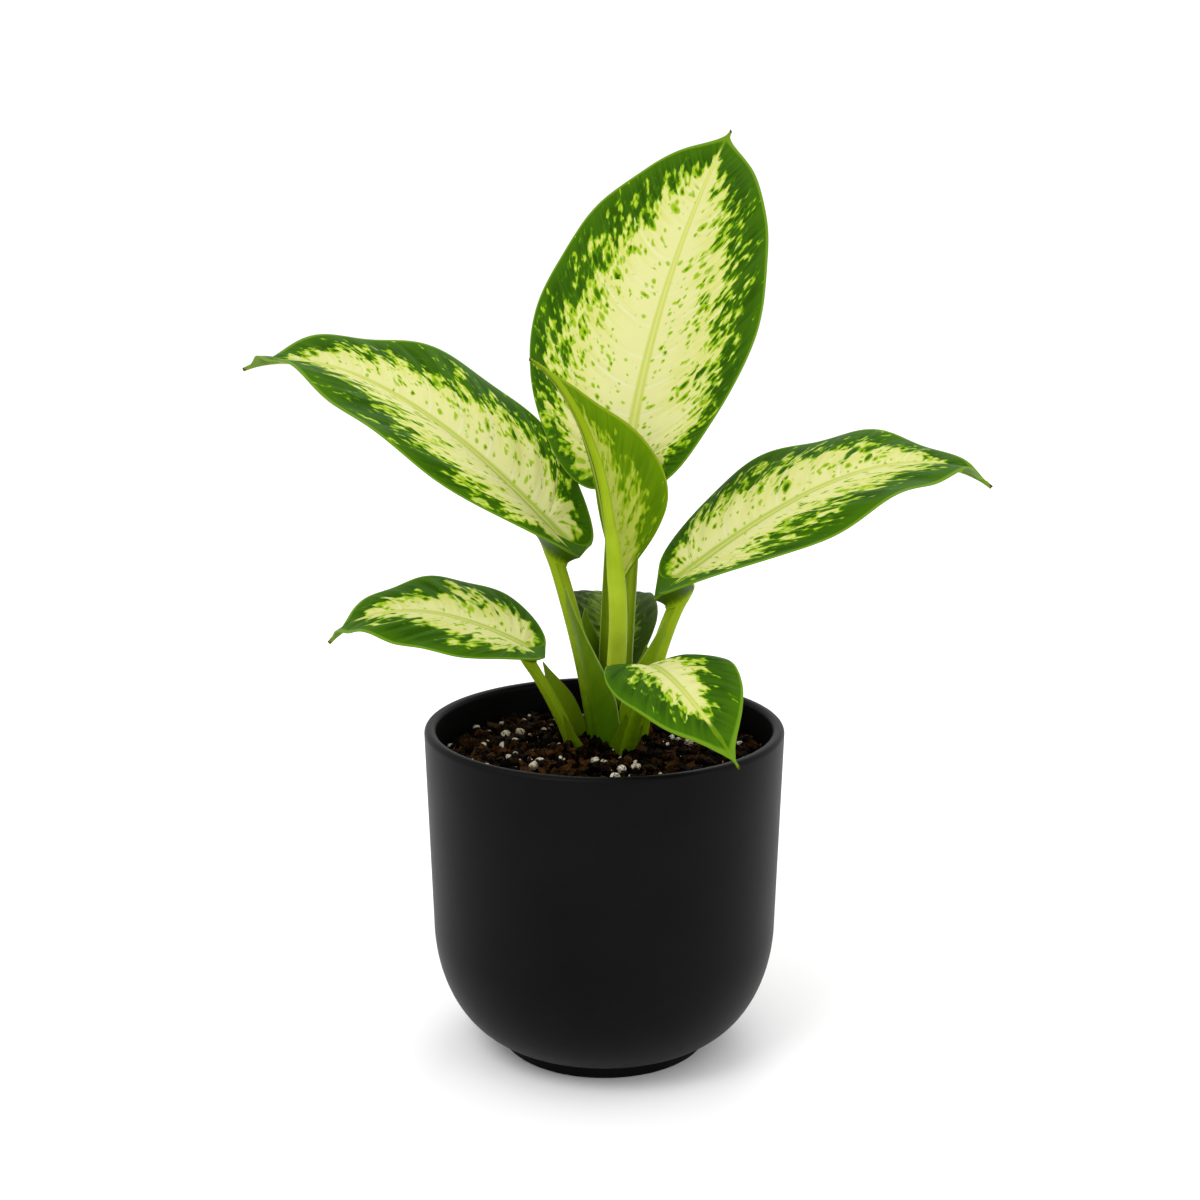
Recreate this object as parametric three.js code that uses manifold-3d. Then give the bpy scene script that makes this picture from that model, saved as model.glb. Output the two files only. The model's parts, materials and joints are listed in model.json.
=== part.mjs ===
// A potted dieffenbachia: a matt black pot with a small foot, filled with potting mix, and one clump of
// seven variegated leaves on sheathed stalks that grow from a short cane under the mix.
// Millimetres, +Z up. The origin is the centre of the pot's underside, and -Y is the pot's front.
import * as THREE from "three";
import { mergeVertices } from "three/addons/utils/BufferGeometryUtils.js";
import Module from "manifold-3d";

// ---- Driving dimensions ------------------------------------------------------------------------------

const POT = {
  height: 116,
  rimRadius: 62.5,
  waistRadius: 60.4, // where the straight wall meets the round corner
  cornerWidth: 26.5, // the corner's reach inwards
  cornerHeight: 41, // and upwards
  footRadius: 37,
  footHeight: 4.6,
  footFillet: 1.2,
  footRise: 0.25, // how far the foot runs on up into the corner
  wall: 4.1,
  lipRound: 1.9,
  floor: 9,
  sides: 44,
};

const SOIL = {
  depthBelowRim: 12.5, // at the wall
  crown: 4.5, // how much higher it stands round the stalks
  crownReach: 26,
  lump: 1.1, // height of its lumps, which repeat about every lumpWidth times 6
  lumpWidth: 2.6,
  crumb: 0.5, // height of the finer crumbs, about every crumbWidth times 6
  crumbWidth: 0.95,
  rings: 10,
  sectors: 36,
};

const PERLITE = {
  count: 40,
  least: 1.1, // radius of the smallest grain
  most: 2.2,
  flatness: [1, 0.9, 0.8],
  proud: 0.25, // how far a grain's middle stands over the soil, in radii
  innerClear: 17, // from the clump's middle
  wallClear: 1.2,
  between: 0.4,
  seed: 7,
};

const CANE = {
  foot: 6, // radius of its lower end
  radius: 9,
  neck: 10,
  head: 12, // radius of the top, where the stalks sit
  bottom: 66,
  shoulder: 72,
  neckHeight: 85,
  top: 92,
  sides: 20,
};

const GAP = 0.35; // kept between pieces that touch
const BLADE = 0.9; // thickness of a leaf blade
const SLIVER = 0.02; // edges shorter than this are closed up

// The clump's middle on the soil, which the stalks' roots are placed round.
const CLUMP = [3, 10];

// A leaf's base is the back end of its blade. Its midrib leaves there along heading (degrees from +X
// towards +Y) and lift (above level), bends down by droop along its length, late giving how far out the
// bend sits, and swings by sway. roll and twist turn the blade about the midrib. fold raises each half
// from flat, skew more so on the left, and curl bends the halves back down towards the margins.
// belly is where the blade is widest, blunt how round its base is, tail how long the drawn-out tip is,
// notch how deep the base is cleft, down to where the stalk joins, and lobe how far its lobes reach back.
// stalk: root is where it rises from the cane, from CLUMP, knee how much steeper than the midrib it
// arrives, rise and reach the stretch of its curve at either end, thick and thin its radii.
// sheath: wing is the reach of the two wings that clasp the inner stalks, left and right how far up the
// stalk each goes, spread how much of the stalk it takes to open, and free the length of its loose tip.
const LEAVES = {
  tall: {
    base: [6.8, 15.5, 193.6], heading: 77, lift: 60.6, length: 147.7, width: 89.6,
    droop: 6, late: 1.1, sway: -18, roll: -10.3, twist: -3.8, fold: 14, curl: 1, skew: -0.4,
    belly: 0.44, blunt: 0.62, tail: 0.06, notch: 6, lobe: 3.5,
    stalk: { root: [1, 5], knee: 16, rise: 34, reach: 26, thick: 3.9, thin: 2.7 },
    sheath: { wing: 9, left: 0.72, right: 0.66, spread: 0.1, free: 3 },
  },
  left: {
    base: [-10.6, 5, 175.1], heading: 165, lift: 45, length: 163.6, width: 67.5,
    droop: 67, late: 1.62, sway: -10.6, roll: -17.2, twist: -5.4, fold: 29.5, curl: 40, skew: -0.5,
    belly: 0.39, blunt: 0.83, tail: 0.06, notch: 9, lobe: 6.5,
    stalk: { root: [-5, 1], knee: 27, rise: 30, reach: 22, thick: 3.4, thin: 2.4 },
    sheath: { wing: 13, left: 0.9, right: 0.66, spread: 0.3, free: 6 },
  },
  right: {
    base: [19.3, -1, 162], heading: 7, lift: 37, length: 141, width: 61,
    droop: 75, late: 1.94, sway: 6.8, roll: 19.4, twist: -0.7, fold: 20, curl: 31, skew: 0.8,
    belly: 0.41, blunt: 0.7, tail: 0.08, notch: 9, lobe: 2,
    stalk: { root: [8, -3], knee: 22, rise: 22, reach: 20, thick: 3.3, thin: 2.5 },
    sheath: { wing: 11, left: 0.6, right: 0.84, spread: 0.35, free: 5 },
  },
  lower_left: {
    base: [-22, -3.3, 141.2], heading: 176, lift: 28, length: 84, width: 49.6,
    droop: 78, late: 1.66, sway: -1.7, roll: -14.8, twist: -3.5, fold: 18, curl: 33, skew: -2.4,
    belly: 0.39, blunt: 0.75, tail: 0.09, notch: 5, lobe: 1.5,
    stalk: { root: [-11.5, -3], knee: 27, rise: 14, reach: 14, thick: 2.8, thin: 1.8 },
    sheath: { wing: 9, left: 0.8, right: 0.5, spread: 0.25, free: 12 },
  },
  front: {
    base: [13.5, -16.7, 140.3], heading: -75, lift: 23, length: 68.3, width: 42.3,
    droop: 70, late: 0.75, sway: 11, roll: 6, twist: 13, fold: 16.6, curl: 26, skew: -2.4,
    belly: 0.37, blunt: 0.62, tail: 0.12, notch: 4, lobe: 5.2,
    stalk: { root: [3, -12], knee: 35, rise: 14, reach: 12, thick: 2.8, thin: 1.8 },
    sheath: { wing: 7, left: 0.45, right: 0.55, spread: 0.4, free: 4 },
  },
  back: {
    base: [3.4, 21, 129], heading: 93, lift: 60, length: 72, width: 35,
    droop: 120, late: 1.2, sway: 0, roll: 0, twist: 0, fold: 10, curl: 25, skew: 0,
    belly: 0.42, blunt: 0.62, tail: 0.07, notch: 4, lobe: 3,
    stalk: { root: [1, 13], knee: 8, rise: 7, reach: 7, thick: 2.8, thin: 1.9 },
    sheath: { wing: 7, left: 0.55, right: 0.5, spread: 0.3, free: 3 },
  },
  young: {
    base: [4.4, -12, 164.7], heading: 194, lift: 84, length: 92, width: 57,
    droop: 72, late: 2, sway: 0.5, roll: -62, twist: -6, fold: -3, curl: -54, skew: 25,
    belly: 0.36, blunt: 0.93, tail: 0.09, notch: 0, lobe: 0,
    stalk: { root: [0, -3], knee: 2, rise: 24, reach: 20, thick: 2.8, thin: 2.1 },
    sheath: { wing: 0, left: 0.4, right: 0.4, spread: 0.3, free: 0 },
  },
};

// The order in which the stalks grow outwards from the clump's heart: each one clears those before it.
const INSIDE_OUT = ["young", "tall", "back", "left", "right", "lower_left", "front"];

const COLOURS = {
  pot: { color: 0x1b1c1d, roughness: 0.62, metalness: 0 },
  soil: { color: 0x2b1c14, roughness: 0.97, metalness: 0 },
  cane: { color: 0x8d9a4e, roughness: 0.7, metalness: 0 },
  stalk: { color: 0x7fa732, roughness: 0.48, metalness: 0 },
  leaf: { color: 0x6f9a34, roughness: 0.45, metalness: 0 },
  young: { color: 0x9ab545, roughness: 0.45, metalness: 0 },
};

// ---- Solids ------------------------------------------------------------------------------------------

const wasm = await Module();
wasm.setup();

const up = new THREE.Vector3(0, 0, 1);
const radians = THREE.MathUtils.degToRad;
const mix = THREE.MathUtils.lerp;

// A closed three.js geometry as a solid, with its shared vertices merged.
function solid(geometry) {
  const bare = geometry.index ? geometry.clone() : geometry;
  for (const name of Object.keys(bare.attributes)) {
    if (name !== "position") bare.deleteAttribute(name);
  }
  const merged = mergeVertices(bare, 1e-4);
  return new wasm.Manifold(
    new wasm.Mesh({
      numProp: 3,
      vertProperties: merged.attributes.position.array,
      triVerts: new Uint32Array(merged.index.array),
    }),
  );
}

// A solid back as a three.js geometry.
function geometryOf(made) {
  const mesh = made.getMesh();
  const geometry = new THREE.BufferGeometry();
  geometry.setAttribute("position", new THREE.BufferAttribute(mesh.vertProperties, 3));
  geometry.setIndex(new THREE.BufferAttribute(mesh.triVerts, 1));
  geometry.computeVertexNormals();
  return geometry;
}

// A geometry from points and triangles given as lists.
function geometryFrom(points, triangles) {
  const geometry = new THREE.BufferGeometry();
  geometry.setAttribute("position", new THREE.Float32BufferAttribute(points.flatMap((p) => p.toArray()), 3));
  geometry.setIndex(triangles.flat());
  return geometry;
}

// What is left of a solid in one piece once its loose scraps and its slivers are dropped.
function largest(made) {
  const bodies = made.simplify(SLIVER).decompose();
  return bodies.reduce((a, b) => (b.volume() > a.volume() ? b : a));
}

// The same numbers between 0 and 1 on every run.
function seeded(seed) {
  let state = seed;
  return () => {
    state = (state * 16807) % 2147483647;
    return state / 2147483647;
  };
}

// ---- Pot ---------------------------------------------------------------------------------------------

// Points of a quarter ellipse round (x, z), from angle a to angle b.
function arc(x, z, rx, rz, a, b, steps) {
  return Array.from({ length: steps + 1 }, (_, i) => {
    const angle = radians(mix(a, b, i / steps));
    return new THREE.Vector2(x + rx * Math.cos(angle), z + rz * Math.sin(angle));
  });
}

const CORNER_X = POT.waistRadius - POT.cornerWidth;
const CORNER_Z = POT.footHeight + POT.cornerHeight;
const CORNER_START = -80; // degrees: the corner's lowest part runs out under the foot
const LIP_Z = POT.height - POT.lipRound;
const INNER_RIM = POT.rimRadius - POT.wall;
const INNER_WAIST = POT.waistRadius - POT.wall;

// The pot's inside, from the top of its round corner down to its floor.
const INNER_CORNER = arc(CORNER_X, CORNER_Z, INNER_WAIST - CORNER_X, CORNER_Z - POT.floor, 0, -90, 5);

function potGeometry() {
  const { footRadius, footFillet, footHeight, footRise, rimRadius, lipRound } = POT;
  const profile = [
    new THREE.Vector2(0, 0),
    ...arc(footRadius - footFillet, footFillet, footFillet, footFillet, -90, 0, 2),
    new THREE.Vector2(footRadius, footHeight + footRise),
    ...arc(CORNER_X, CORNER_Z, POT.cornerWidth, POT.cornerHeight, CORNER_START, 0, 8),
    ...arc(rimRadius - lipRound, LIP_Z, lipRound, lipRound, 0, 90, 2),
    ...arc(INNER_RIM + lipRound, LIP_Z, lipRound, lipRound, 90, 180, 2),
    ...INNER_CORNER,
    new THREE.Vector2(0, POT.floor),
  ];
  return new THREE.LatheGeometry(profile, POT.sides).rotateX(Math.PI / 2);
}

// ---- Soil --------------------------------------------------------------------------------------------

// The soil's height at a place: a low crown round the stalks, with lumps and crumbs of bark and peat.
function soilTop(x, y) {
  const fromClump = Math.hypot(x - CLUMP[0], y - CLUMP[1]);
  const crown = SOIL.crown * Math.exp(-((fromClump / SOIL.crownReach) ** 2));
  const [u, v] = [x / SOIL.lumpWidth, y / SOIL.lumpWidth];
  const lumps = Math.sin(u + Math.sin(0.6 * v)) * Math.sin(v + Math.sin(0.75 * u));
  const [p, q] = [x / SOIL.crumbWidth, y / SOIL.crumbWidth];
  const crumbs = Math.sin(p + 0.6 * q) * Math.cos(q - 0.5 * p);
  return SOIL_Z + crown + SOIL.lump * lumps + SOIL.crumb * crumbs;
}

const SOIL_Z = POT.height - SOIL.depthBelowRim;
const SOIL_RADIUS = mix(INNER_WAIST, INNER_RIM, (SOIL_Z - CORNER_Z) / (LIP_Z - CORNER_Z)) - GAP;

function soilGeometry() {
  const { rings, sectors } = SOIL;
  const points = [new THREE.Vector3(0, 0, soilTop(0, 0))];
  const triangles = [];
  const ring = (radius, height) => {
    for (let s = 0; s < sectors; s++) {
      const angle = (2 * Math.PI * s) / sectors;
      const [x, y] = [radius * Math.cos(angle), radius * Math.sin(angle)];
      points.push(new THREE.Vector3(x, y, height === undefined ? soilTop(x, y) : height));
    }
  };
  for (let r = 1; r <= rings; r++) ring((SOIL_RADIUS * r) / rings);
  for (const inner of INNER_CORNER) ring(inner.x - GAP, inner.y + GAP);
  const bottom = POT.floor + GAP;
  const levels = (points.length - 1) / sectors;
  points.push(new THREE.Vector3(0, 0, bottom));
  const last = points.length - 1;
  for (let s = 0; s < sectors; s++) {
    const next = (s + 1) % sectors;
    triangles.push([0, 1 + s, 1 + next]);
    for (let l = 0; l + 1 < levels; l++) {
      const [a, b] = [1 + l * sectors + s, 1 + l * sectors + next];
      triangles.push([a, a + sectors, b + sectors], [a, b + sectors, b]);
    }
    triangles.push([last, last - sectors + next, last - sectors + s]);
  }
  return geometryFrom(points, triangles);
}

// Grains of perlite strewn over the soil, each half sunk in it.
function perliteGrains() {
  const { count, least, most, flatness, proud, innerClear, wallClear, between } = PERLITE;
  const random = seeded(PERLITE.seed);
  const grains = [];
  const reach = SOIL_RADIUS - most - wallClear;
  while (grains.length < count) {
    const [x, y] = [(2 * random() - 1) * reach, (2 * random() - 1) * reach];
    const size = mix(least, most, random() ** 2);
    const [turn, tilt] = [random() * Math.PI, random() * Math.PI];
    if (Math.hypot(x, y) > reach) continue;
    if (Math.hypot(x - CLUMP[0], y - CLUMP[1]) < innerClear) continue;
    if (grains.some((g) => Math.hypot(g.x - x, g.y - y) < g.size + size + between)) continue;
    grains.push({ x, y, size, turn, tilt });
  }
  return grains.map(({ x, y, size, turn, tilt }) =>
    solid(
      new THREE.OctahedronGeometry(size, 0)
        .scale(...flatness)
        .rotateX(tilt)
        .rotateZ(turn)
        .translate(x, y, soilTop(x, y) + proud * size),
    ),
  );
}

// ---- Leaves ------------------------------------------------------------------------------------------

const MIDRIB_STEPS = 40;

// The midrib as a list of places, each with the directions along it, to the leaf's left and upwards.
function midrib(leaf) {
  const [heading, lift] = [radians(leaf.heading), radians(leaf.lift)];
  const along = new THREE.Vector3(
    Math.cos(heading) * Math.cos(lift),
    Math.sin(heading) * Math.cos(lift),
    Math.sin(lift),
  );
  const left = new THREE.Vector3(-Math.sin(heading), Math.cos(heading), 0);
  left.applyAxisAngle(along, radians(leaf.roll));
  const place = new THREE.Vector3(...leaf.base);
  const stations = [];
  const keep = () =>
    stations.push({
      place: place.clone(),
      along: along.clone(),
      left: left.clone(),
      over: along.clone().cross(left),
    });
  keep();
  for (let i = 0; i < MIDRIB_STEPS; i++) {
    const [from, to] = [i / MIDRIB_STEPS, (i + 1) / MIDRIB_STEPS];
    const bend = radians(leaf.droop) * (to ** leaf.late - from ** leaf.late);
    const swing = radians(leaf.sway) / MIDRIB_STEPS;
    const over = along.clone().cross(left);
    const before = along.clone();
    along.applyAxisAngle(left, bend).applyAxisAngle(over, swing).normalize();
    left.applyAxisAngle(over, swing).applyAxisAngle(along, radians(leaf.twist) / MIDRIB_STEPS);
    left.addScaledVector(along, -left.dot(along)).normalize();
    place.addScaledVector(before.add(along), leaf.length / MIDRIB_STEPS / 2);
    keep();
  }
  return stations;
}

// The midrib's station at a distance from the base, straight on past either end.
function stationAt(stations, leaf, x) {
  const t = (x / leaf.length) * MIDRIB_STEPS;
  if (t < 0) {
    const first = stations[0];
    return { ...first, place: first.place.clone().addScaledVector(first.along, x) };
  }
  const i = Math.min(Math.floor(t), MIDRIB_STEPS - 1);
  const [a, b] = [stations[i], stations[i + 1]];
  const between = (key) => a[key].clone().lerp(b[key], t - i);
  return { place: between("place"), along: between("along"), left: between("left"), over: between("over") };
}

const TAIL_POWER = 1.4; // how suddenly the blade narrows to its drawn-out tip
const VEIN_START = 1.6; // powers that make the veins leave the midrib early
const VEIN_SWEEP = 1.35; // and sweep forward
const CLEFT_WIDTH = 0.012; // of the blade's length, as are where its lobes are and how wide
const LOBE = { at: 0.05, wide: 0.08 };

// Half the blade's width where m runs from 0 at the base to 1 at the tip.
function halfWidth(leaf, m) {
  const fall = (leaf.blunt * (1 - leaf.belly)) / leaf.belly;
  const swell = (m / leaf.belly) ** leaf.blunt * ((1 - m) / (1 - leaf.belly)) ** fall;
  return (leaf.width / 2) * swell * (1 - Math.exp(-(((1 - m) / leaf.tail) ** TAIL_POWER)));
}

// A point of the blade: m picks a lateral vein, and k runs along it from the midrib, 0, to the margin, 1.
function bladePoint(stations, leaf, m, k, side) {
  const start = mix(leaf.notch, leaf.length, m ** VEIN_START);
  const cleft = Math.exp(-m / CLEFT_WIDTH);
  const back = leaf.lobe * Math.exp(-(((m - LOBE.at) / LOBE.wide) ** 2)) * (1 - cleft);
  const end = leaf.length * m - back + leaf.notch * cleft;
  const x = mix(start, end, k ** VEIN_SWEEP);
  const y = halfWidth(leaf, m) * k;
  const station = stationAt(stations, leaf, x);
  const angle = radians(leaf.fold + leaf.skew * side - (leaf.curl * y) / leaf.width);
  return station.place
    .addScaledVector(station.left, side * y * Math.cos(angle))
    .addScaledVector(station.over, y * Math.sin(angle));
}

const VEIN_ROWS = 16;
const VEIN_STEPS = 4;

// The blade's middle surface: rows of vein points from the left margin to the right one.
function bladeSheet(leaf, stations) {
  const points = [stationAt(stations, leaf, leaf.notch).place];
  const triangles = [];
  const across = 2 * VEIN_STEPS + 1;
  for (let r = 1; r < VEIN_ROWS; r++) {
    const m = (1 - Math.cos((Math.PI * r) / VEIN_ROWS)) / 2;
    for (let c = -VEIN_STEPS; c <= VEIN_STEPS; c++) {
      points.push(bladePoint(stations, leaf, m, Math.abs(c) / VEIN_STEPS, c < 0 ? 1 : -1));
    }
  }
  points.push(stations[MIDRIB_STEPS].place.clone());
  const tip = points.length - 1;
  for (let c = 0; c + 1 < across; c++) {
    triangles.push([0, 2 + c, 1 + c], [tip, tip - across + c, tip - across + c + 1]);
    for (let r = 0; r + 2 < VEIN_ROWS; r++) {
      const a = 1 + r * across + c;
      const b = a + across;
      const left = c < VEIN_STEPS;
      triangles.push(...(left ? [[a, a + 1, b], [a + 1, b + 1, b]] : [[a, a + 1, b + 1], [a, b + 1, b]]));
    }
  }
  return { points, triangles };
}

// A thin sheet made into a closed solid, with half the thickness on either side.
function thicken({ points, triangles }, thickness) {
  const flat = geometryFrom(points, triangles);
  flat.computeVertexNormals();
  const normals = flat.getAttribute("normal");
  const shifted = (by) =>
    points.map((p, i) => new THREE.Vector3().fromBufferAttribute(normals, i).multiplyScalar(by).add(p));
  const n = points.length;
  const faces = [...triangles, ...triangles.map(([a, b, c]) => [n + a, n + c, n + b])];
  const edges = new Set(triangles.flatMap(([a, b, c]) => [`${a} ${b}`, `${b} ${c}`, `${c} ${a}`]));
  for (const edge of edges) {
    const [a, b] = edge.split(" ").map(Number);
    if (!edges.has(`${b} ${a}`)) faces.push([a, n + a, n + b], [a, n + b, b]);
  }
  return geometryFrom([...shifted(thickness / 2), ...shifted(-thickness / 2)], faces);
}

// A closed body through rings of equally many points, an even number, with each end capped by a strip
// that joins the first half of its ring to the second.
function loft(rings) {
  const count = rings[0].length;
  const top = (rings.length - 1) * count;
  const triangles = [];
  for (let i = 0; i < count; i++) {
    const j = (i + 1) % count;
    for (let r = 0; r + 1 < rings.length; r++) {
      const [a, b] = [r * count, (r + 1) * count];
      triangles.push([a + i, a + j, b + j], [a + i, b + j, b + i]);
    }
  }
  for (let a = 0; a + 1 < count / 2; a++) {
    const [b, c, d] = [a + 1, count - 2 - a, count - 1 - a];
    triangles.push([a, c, b], [a, d, c]);
    triangles.push([top + a, top + b, top + c], [top + a, top + c, top + d]);
  }
  return geometryFrom(rings.flat(), triangles);
}

const RIB_SIDES = 8;
const RIB_DROP = 0.85; // how far the keel's middle hangs under the blade, in radii
const RIB_END = 0.6; // its radius at the tip
const RIB_TAPER = 0.6; // below 1, it thins most near the stalk
const RIB_STATIONS = [0.004, 0.1, 0.22, 0.36, 0.5, 0.64, 0.78, 0.92];

// The midrib's keel: round under the blade, and tapering to the tip.
function ribGeometry(leaf, stations, grow) {
  const rings = [];
  for (const t of RIB_STATIONS) {
    const station = stationAt(stations, leaf, mix(leaf.notch, leaf.length, t) - grow);
    const radius = mix(leaf.stalk.thin, RIB_END, t ** RIB_TAPER);
    const ring = [];
    for (let s = 0; s < RIB_SIDES; s++) {
      const angle = (2 * Math.PI * s) / RIB_SIDES;
      ring.push(
        station.place
          .clone()
          .addScaledVector(station.left, (radius + grow) * Math.cos(angle))
          .addScaledVector(station.over, (radius + grow) * Math.sin(angle) - RIB_DROP * radius),
      );
    }
    rings.push(ring);
  }
  return loft(rings);
}

// A leaf's blade and keel. grow swells it all round, which makes the space that its stalk keeps clear.
function leafSolid(leaf, grow = 0) {
  const stations = midrib(leaf);
  const blade = solid(thicken(bladeSheet(leaf, stations), BLADE + 2 * grow));
  return largest(blade.add(solid(ribGeometry(leaf, stations, grow))));
}

// ---- Stalks ------------------------------------------------------------------------------------------

const STALK_RINGS = 14;
const WING_EDGE = 0.45; // half the thickness of a wing
const WING_PITCH = 0.17; // how fast a wing curls in, in radians for each millimetre
const WING_STUB = 0.3; // what is left of a wing above the sheath
const FREE_START = 4; // how soon a wing's loose tip leads as the sheath opens

// Half a stalk's section, from a wing's tip in to the middle of the stalk: how far out each point is,
// where 1 is the side of the core and 2 the wing's tip, and half how thick it is there, in core radii.
const SECTION = [[2, 0], [1.5, 0], [0.96, 0.12], [0.6, 0.8], [0, 1]];

function stalkCurve(leaf) {
  const { root, knee, rise, reach } = leaf.stalk;
  const foot = new THREE.Vector3(CLUMP[0] + root[0], CLUMP[1] + root[1], CANE.top + GAP);
  const [heading, lift] = [radians(leaf.heading), radians(leaf.lift + knee)];
  const join = stationAt(midrib(leaf), leaf, leaf.notch);
  const end = join.place.clone().addScaledVector(join.over, -RIB_DROP * leaf.stalk.thin);
  const arrive = new THREE.Vector3(
    Math.cos(heading) * Math.cos(lift),
    Math.sin(heading) * Math.cos(lift),
    Math.sin(lift),
  );
  return new THREE.CubicBezierCurve3(
    foot,
    foot.clone().addScaledVector(up, rise),
    end.clone().addScaledVector(arrive, -reach),
    end,
  );
}

// One ring of a stalk: a round core whose two thin wings clasp what grows inside it.
function stalkRing(leaf, curve, t, grow) {
  const { wing, left, right, spread, free } = leaf.sheath;
  const radius = mix(leaf.stalk.thick, leaf.stalk.thin, t);
  const inward = new THREE.Vector3(-1, 0, 0).applyAxisAngle(up, radians(leaf.heading));
  // side is 1 on the leaf's left and -1 on its right, and face is 1 on the inner face, -1 on the outer.
  const pointAt = (side, face, arm, thick) => {
    const open = THREE.MathUtils.clamp(((side > 0 ? left : right) - t) / spread, 0, 1);
    const wingReach = Math.max(0, wing - radius) * open + WING_STUB;
    const distance = arm <= 1 ? arm * radius : radius + (arm - 1) * wingReach + grow;
    const lead = arm > 1 && t > 0 ? free * (arm - 1) ** 2 * Math.min(1, FREE_START * open) : 0;
    const station = Math.min(1, t + lead / curve.getLength());
    const along = curve.getTangentAt(station);
    const facing = inward.clone().addScaledVector(along, -inward.dot(along)).normalize();
    const sideways = facing.clone().cross(along).multiplyScalar(side);
    const turn = WING_PITCH * distance;
    const offset = face * (thick * radius + (arm > 0.6 ? WING_EDGE : 0) + grow);
    return curve
      .getPointAt(station)
      .addScaledVector(sideways, Math.sin(turn) / WING_PITCH - offset * Math.sin(turn))
      .addScaledVector(facing, (1 - Math.cos(turn)) / WING_PITCH + offset * Math.cos(turn));
  };
  const half = (side, face) => SECTION.map(([arm, thick]) => pointAt(side, face, arm, thick));
  const outside = [...half(-1, -1), ...half(1, -1).reverse().slice(1)];
  const inside = [...half(1, 1), ...half(-1, 1).reverse().slice(1)];
  return [...outside, ...inside];
}

// A leaf's stalk. grow swells it all round, which makes the space that its neighbours keep clear.
function stalkSolid(leaf, grow = 0) {
  const curve = stalkCurve(leaf);
  const rings = [];
  for (let r = 0; r <= STALK_RINGS; r++) rings.push(stalkRing(leaf, curve, r / STALK_RINGS, grow));
  if (grow > 0) rings.unshift(rings[0].map((p) => p.clone().addScaledVector(up, -2 * GAP)));
  return solid(loft(rings));
}

// ---- Cane --------------------------------------------------------------------------------------------

// The short cane that carries the stalks, all of it under the soil. grow swells it as above.
function caneGeometry(grow = 0) {
  const profile = [
    new THREE.Vector2(0, CANE.bottom - grow),
    new THREE.Vector2(CANE.foot + grow, CANE.bottom - grow),
    new THREE.Vector2(CANE.radius + grow, CANE.shoulder),
    new THREE.Vector2(CANE.neck + grow, CANE.neckHeight),
    new THREE.Vector2(CANE.head + grow, CANE.top + grow),
    new THREE.Vector2(0, CANE.top + grow),
  ];
  return new THREE.LatheGeometry(profile, CANE.sides).rotateX(Math.PI / 2).translate(...CLUMP, 0);
}

// ---- Assembly ----------------------------------------------------------------------------------------

const plant = new THREE.Group();

function addPiece(name, geometry, finish) {
  const mesh = new THREE.Mesh(geometry, new THREE.MeshStandardMaterial(finish));
  mesh.name = name;
  plant.add(mesh);
}

addPiece("pot", geometryOf(solid(potGeometry())), COLOURS.pot);
addPiece("cane", geometryOf(solid(caneGeometry())), COLOURS.cane);

let soil = perliteGrains().reduce((made, grain) => made.add(grain), solid(soilGeometry()));
soil = soil.subtract(solid(caneGeometry(GAP)));

const cleared = [];
for (const name of INSIDE_OUT) {
  const leaf = LEAVES[name];
  const space = stalkSolid(leaf, GAP);
  const whole = stalkSolid(leaf).subtract(leafSolid(leaf, GAP));
  const stalk = cleared.reduce((made, inner) => made.subtract(inner), whole);
  addPiece(`stalk_${name}`, geometryOf(largest(stalk)), COLOURS.stalk);
  addPiece(`leaf_${name}`, geometryOf(leafSolid(leaf)), name === "young" ? COLOURS.young : COLOURS.leaf);
  soil = soil.subtract(stalkSolid(leaf, 2 * GAP));
  cleared.push(space);
}
addPiece("soil", geometryOf(largest(soil)), COLOURS.soil);

export default plant;
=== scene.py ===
# %% [markdown]
# # A potted dieffenbachia
# This lesson dresses a plain model of a houseplant: a matte black pot, potting mix with perlite, and one
# clump of seven variegated leaves on sheathed stalks. The plain model is the frame. Every new piece takes
# the place of one of its nodes and stands exactly where that node stands.

# %% The frame
import json
import math
import random

import bmesh
import bpy
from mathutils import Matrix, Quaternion, Vector, noise

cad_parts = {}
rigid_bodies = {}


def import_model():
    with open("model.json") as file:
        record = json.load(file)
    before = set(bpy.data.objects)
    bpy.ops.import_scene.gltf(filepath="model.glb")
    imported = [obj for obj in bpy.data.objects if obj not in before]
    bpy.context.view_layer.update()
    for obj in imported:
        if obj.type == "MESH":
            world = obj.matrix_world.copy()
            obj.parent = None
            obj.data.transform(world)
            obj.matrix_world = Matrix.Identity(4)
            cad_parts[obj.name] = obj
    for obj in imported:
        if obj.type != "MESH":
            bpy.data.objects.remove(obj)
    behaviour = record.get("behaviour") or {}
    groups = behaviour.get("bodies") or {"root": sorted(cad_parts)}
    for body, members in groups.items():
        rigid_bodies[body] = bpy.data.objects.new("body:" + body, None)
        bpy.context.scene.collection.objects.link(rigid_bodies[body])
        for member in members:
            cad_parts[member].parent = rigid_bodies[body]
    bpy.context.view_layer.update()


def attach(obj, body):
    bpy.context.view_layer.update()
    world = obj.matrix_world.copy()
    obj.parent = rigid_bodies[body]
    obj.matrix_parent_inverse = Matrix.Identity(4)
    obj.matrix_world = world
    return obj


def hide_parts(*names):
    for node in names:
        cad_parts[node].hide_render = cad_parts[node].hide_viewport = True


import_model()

MM = 0.001
FRONT = 0.6  # metres from the pot's middle to the camera

# %% [markdown]
# ## Camera, floor and light
# The plant is seen from a little above, so that a slim ellipse of the mix shows inside the rim. A camera is
# turned about X: 90 degrees looks level, and less looks down. The floor and the world are white and the
# lights are large, because soft light from all round shows a leaf's own colours without hard shadows.

# %% Camera
CAMERA_X, CAMERA_Z = -1.5, 294
PITCH = 0.22  # radians below level
FOCAL = 1793 / 1200  # focal length in image widths
SENSOR = 36


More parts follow.
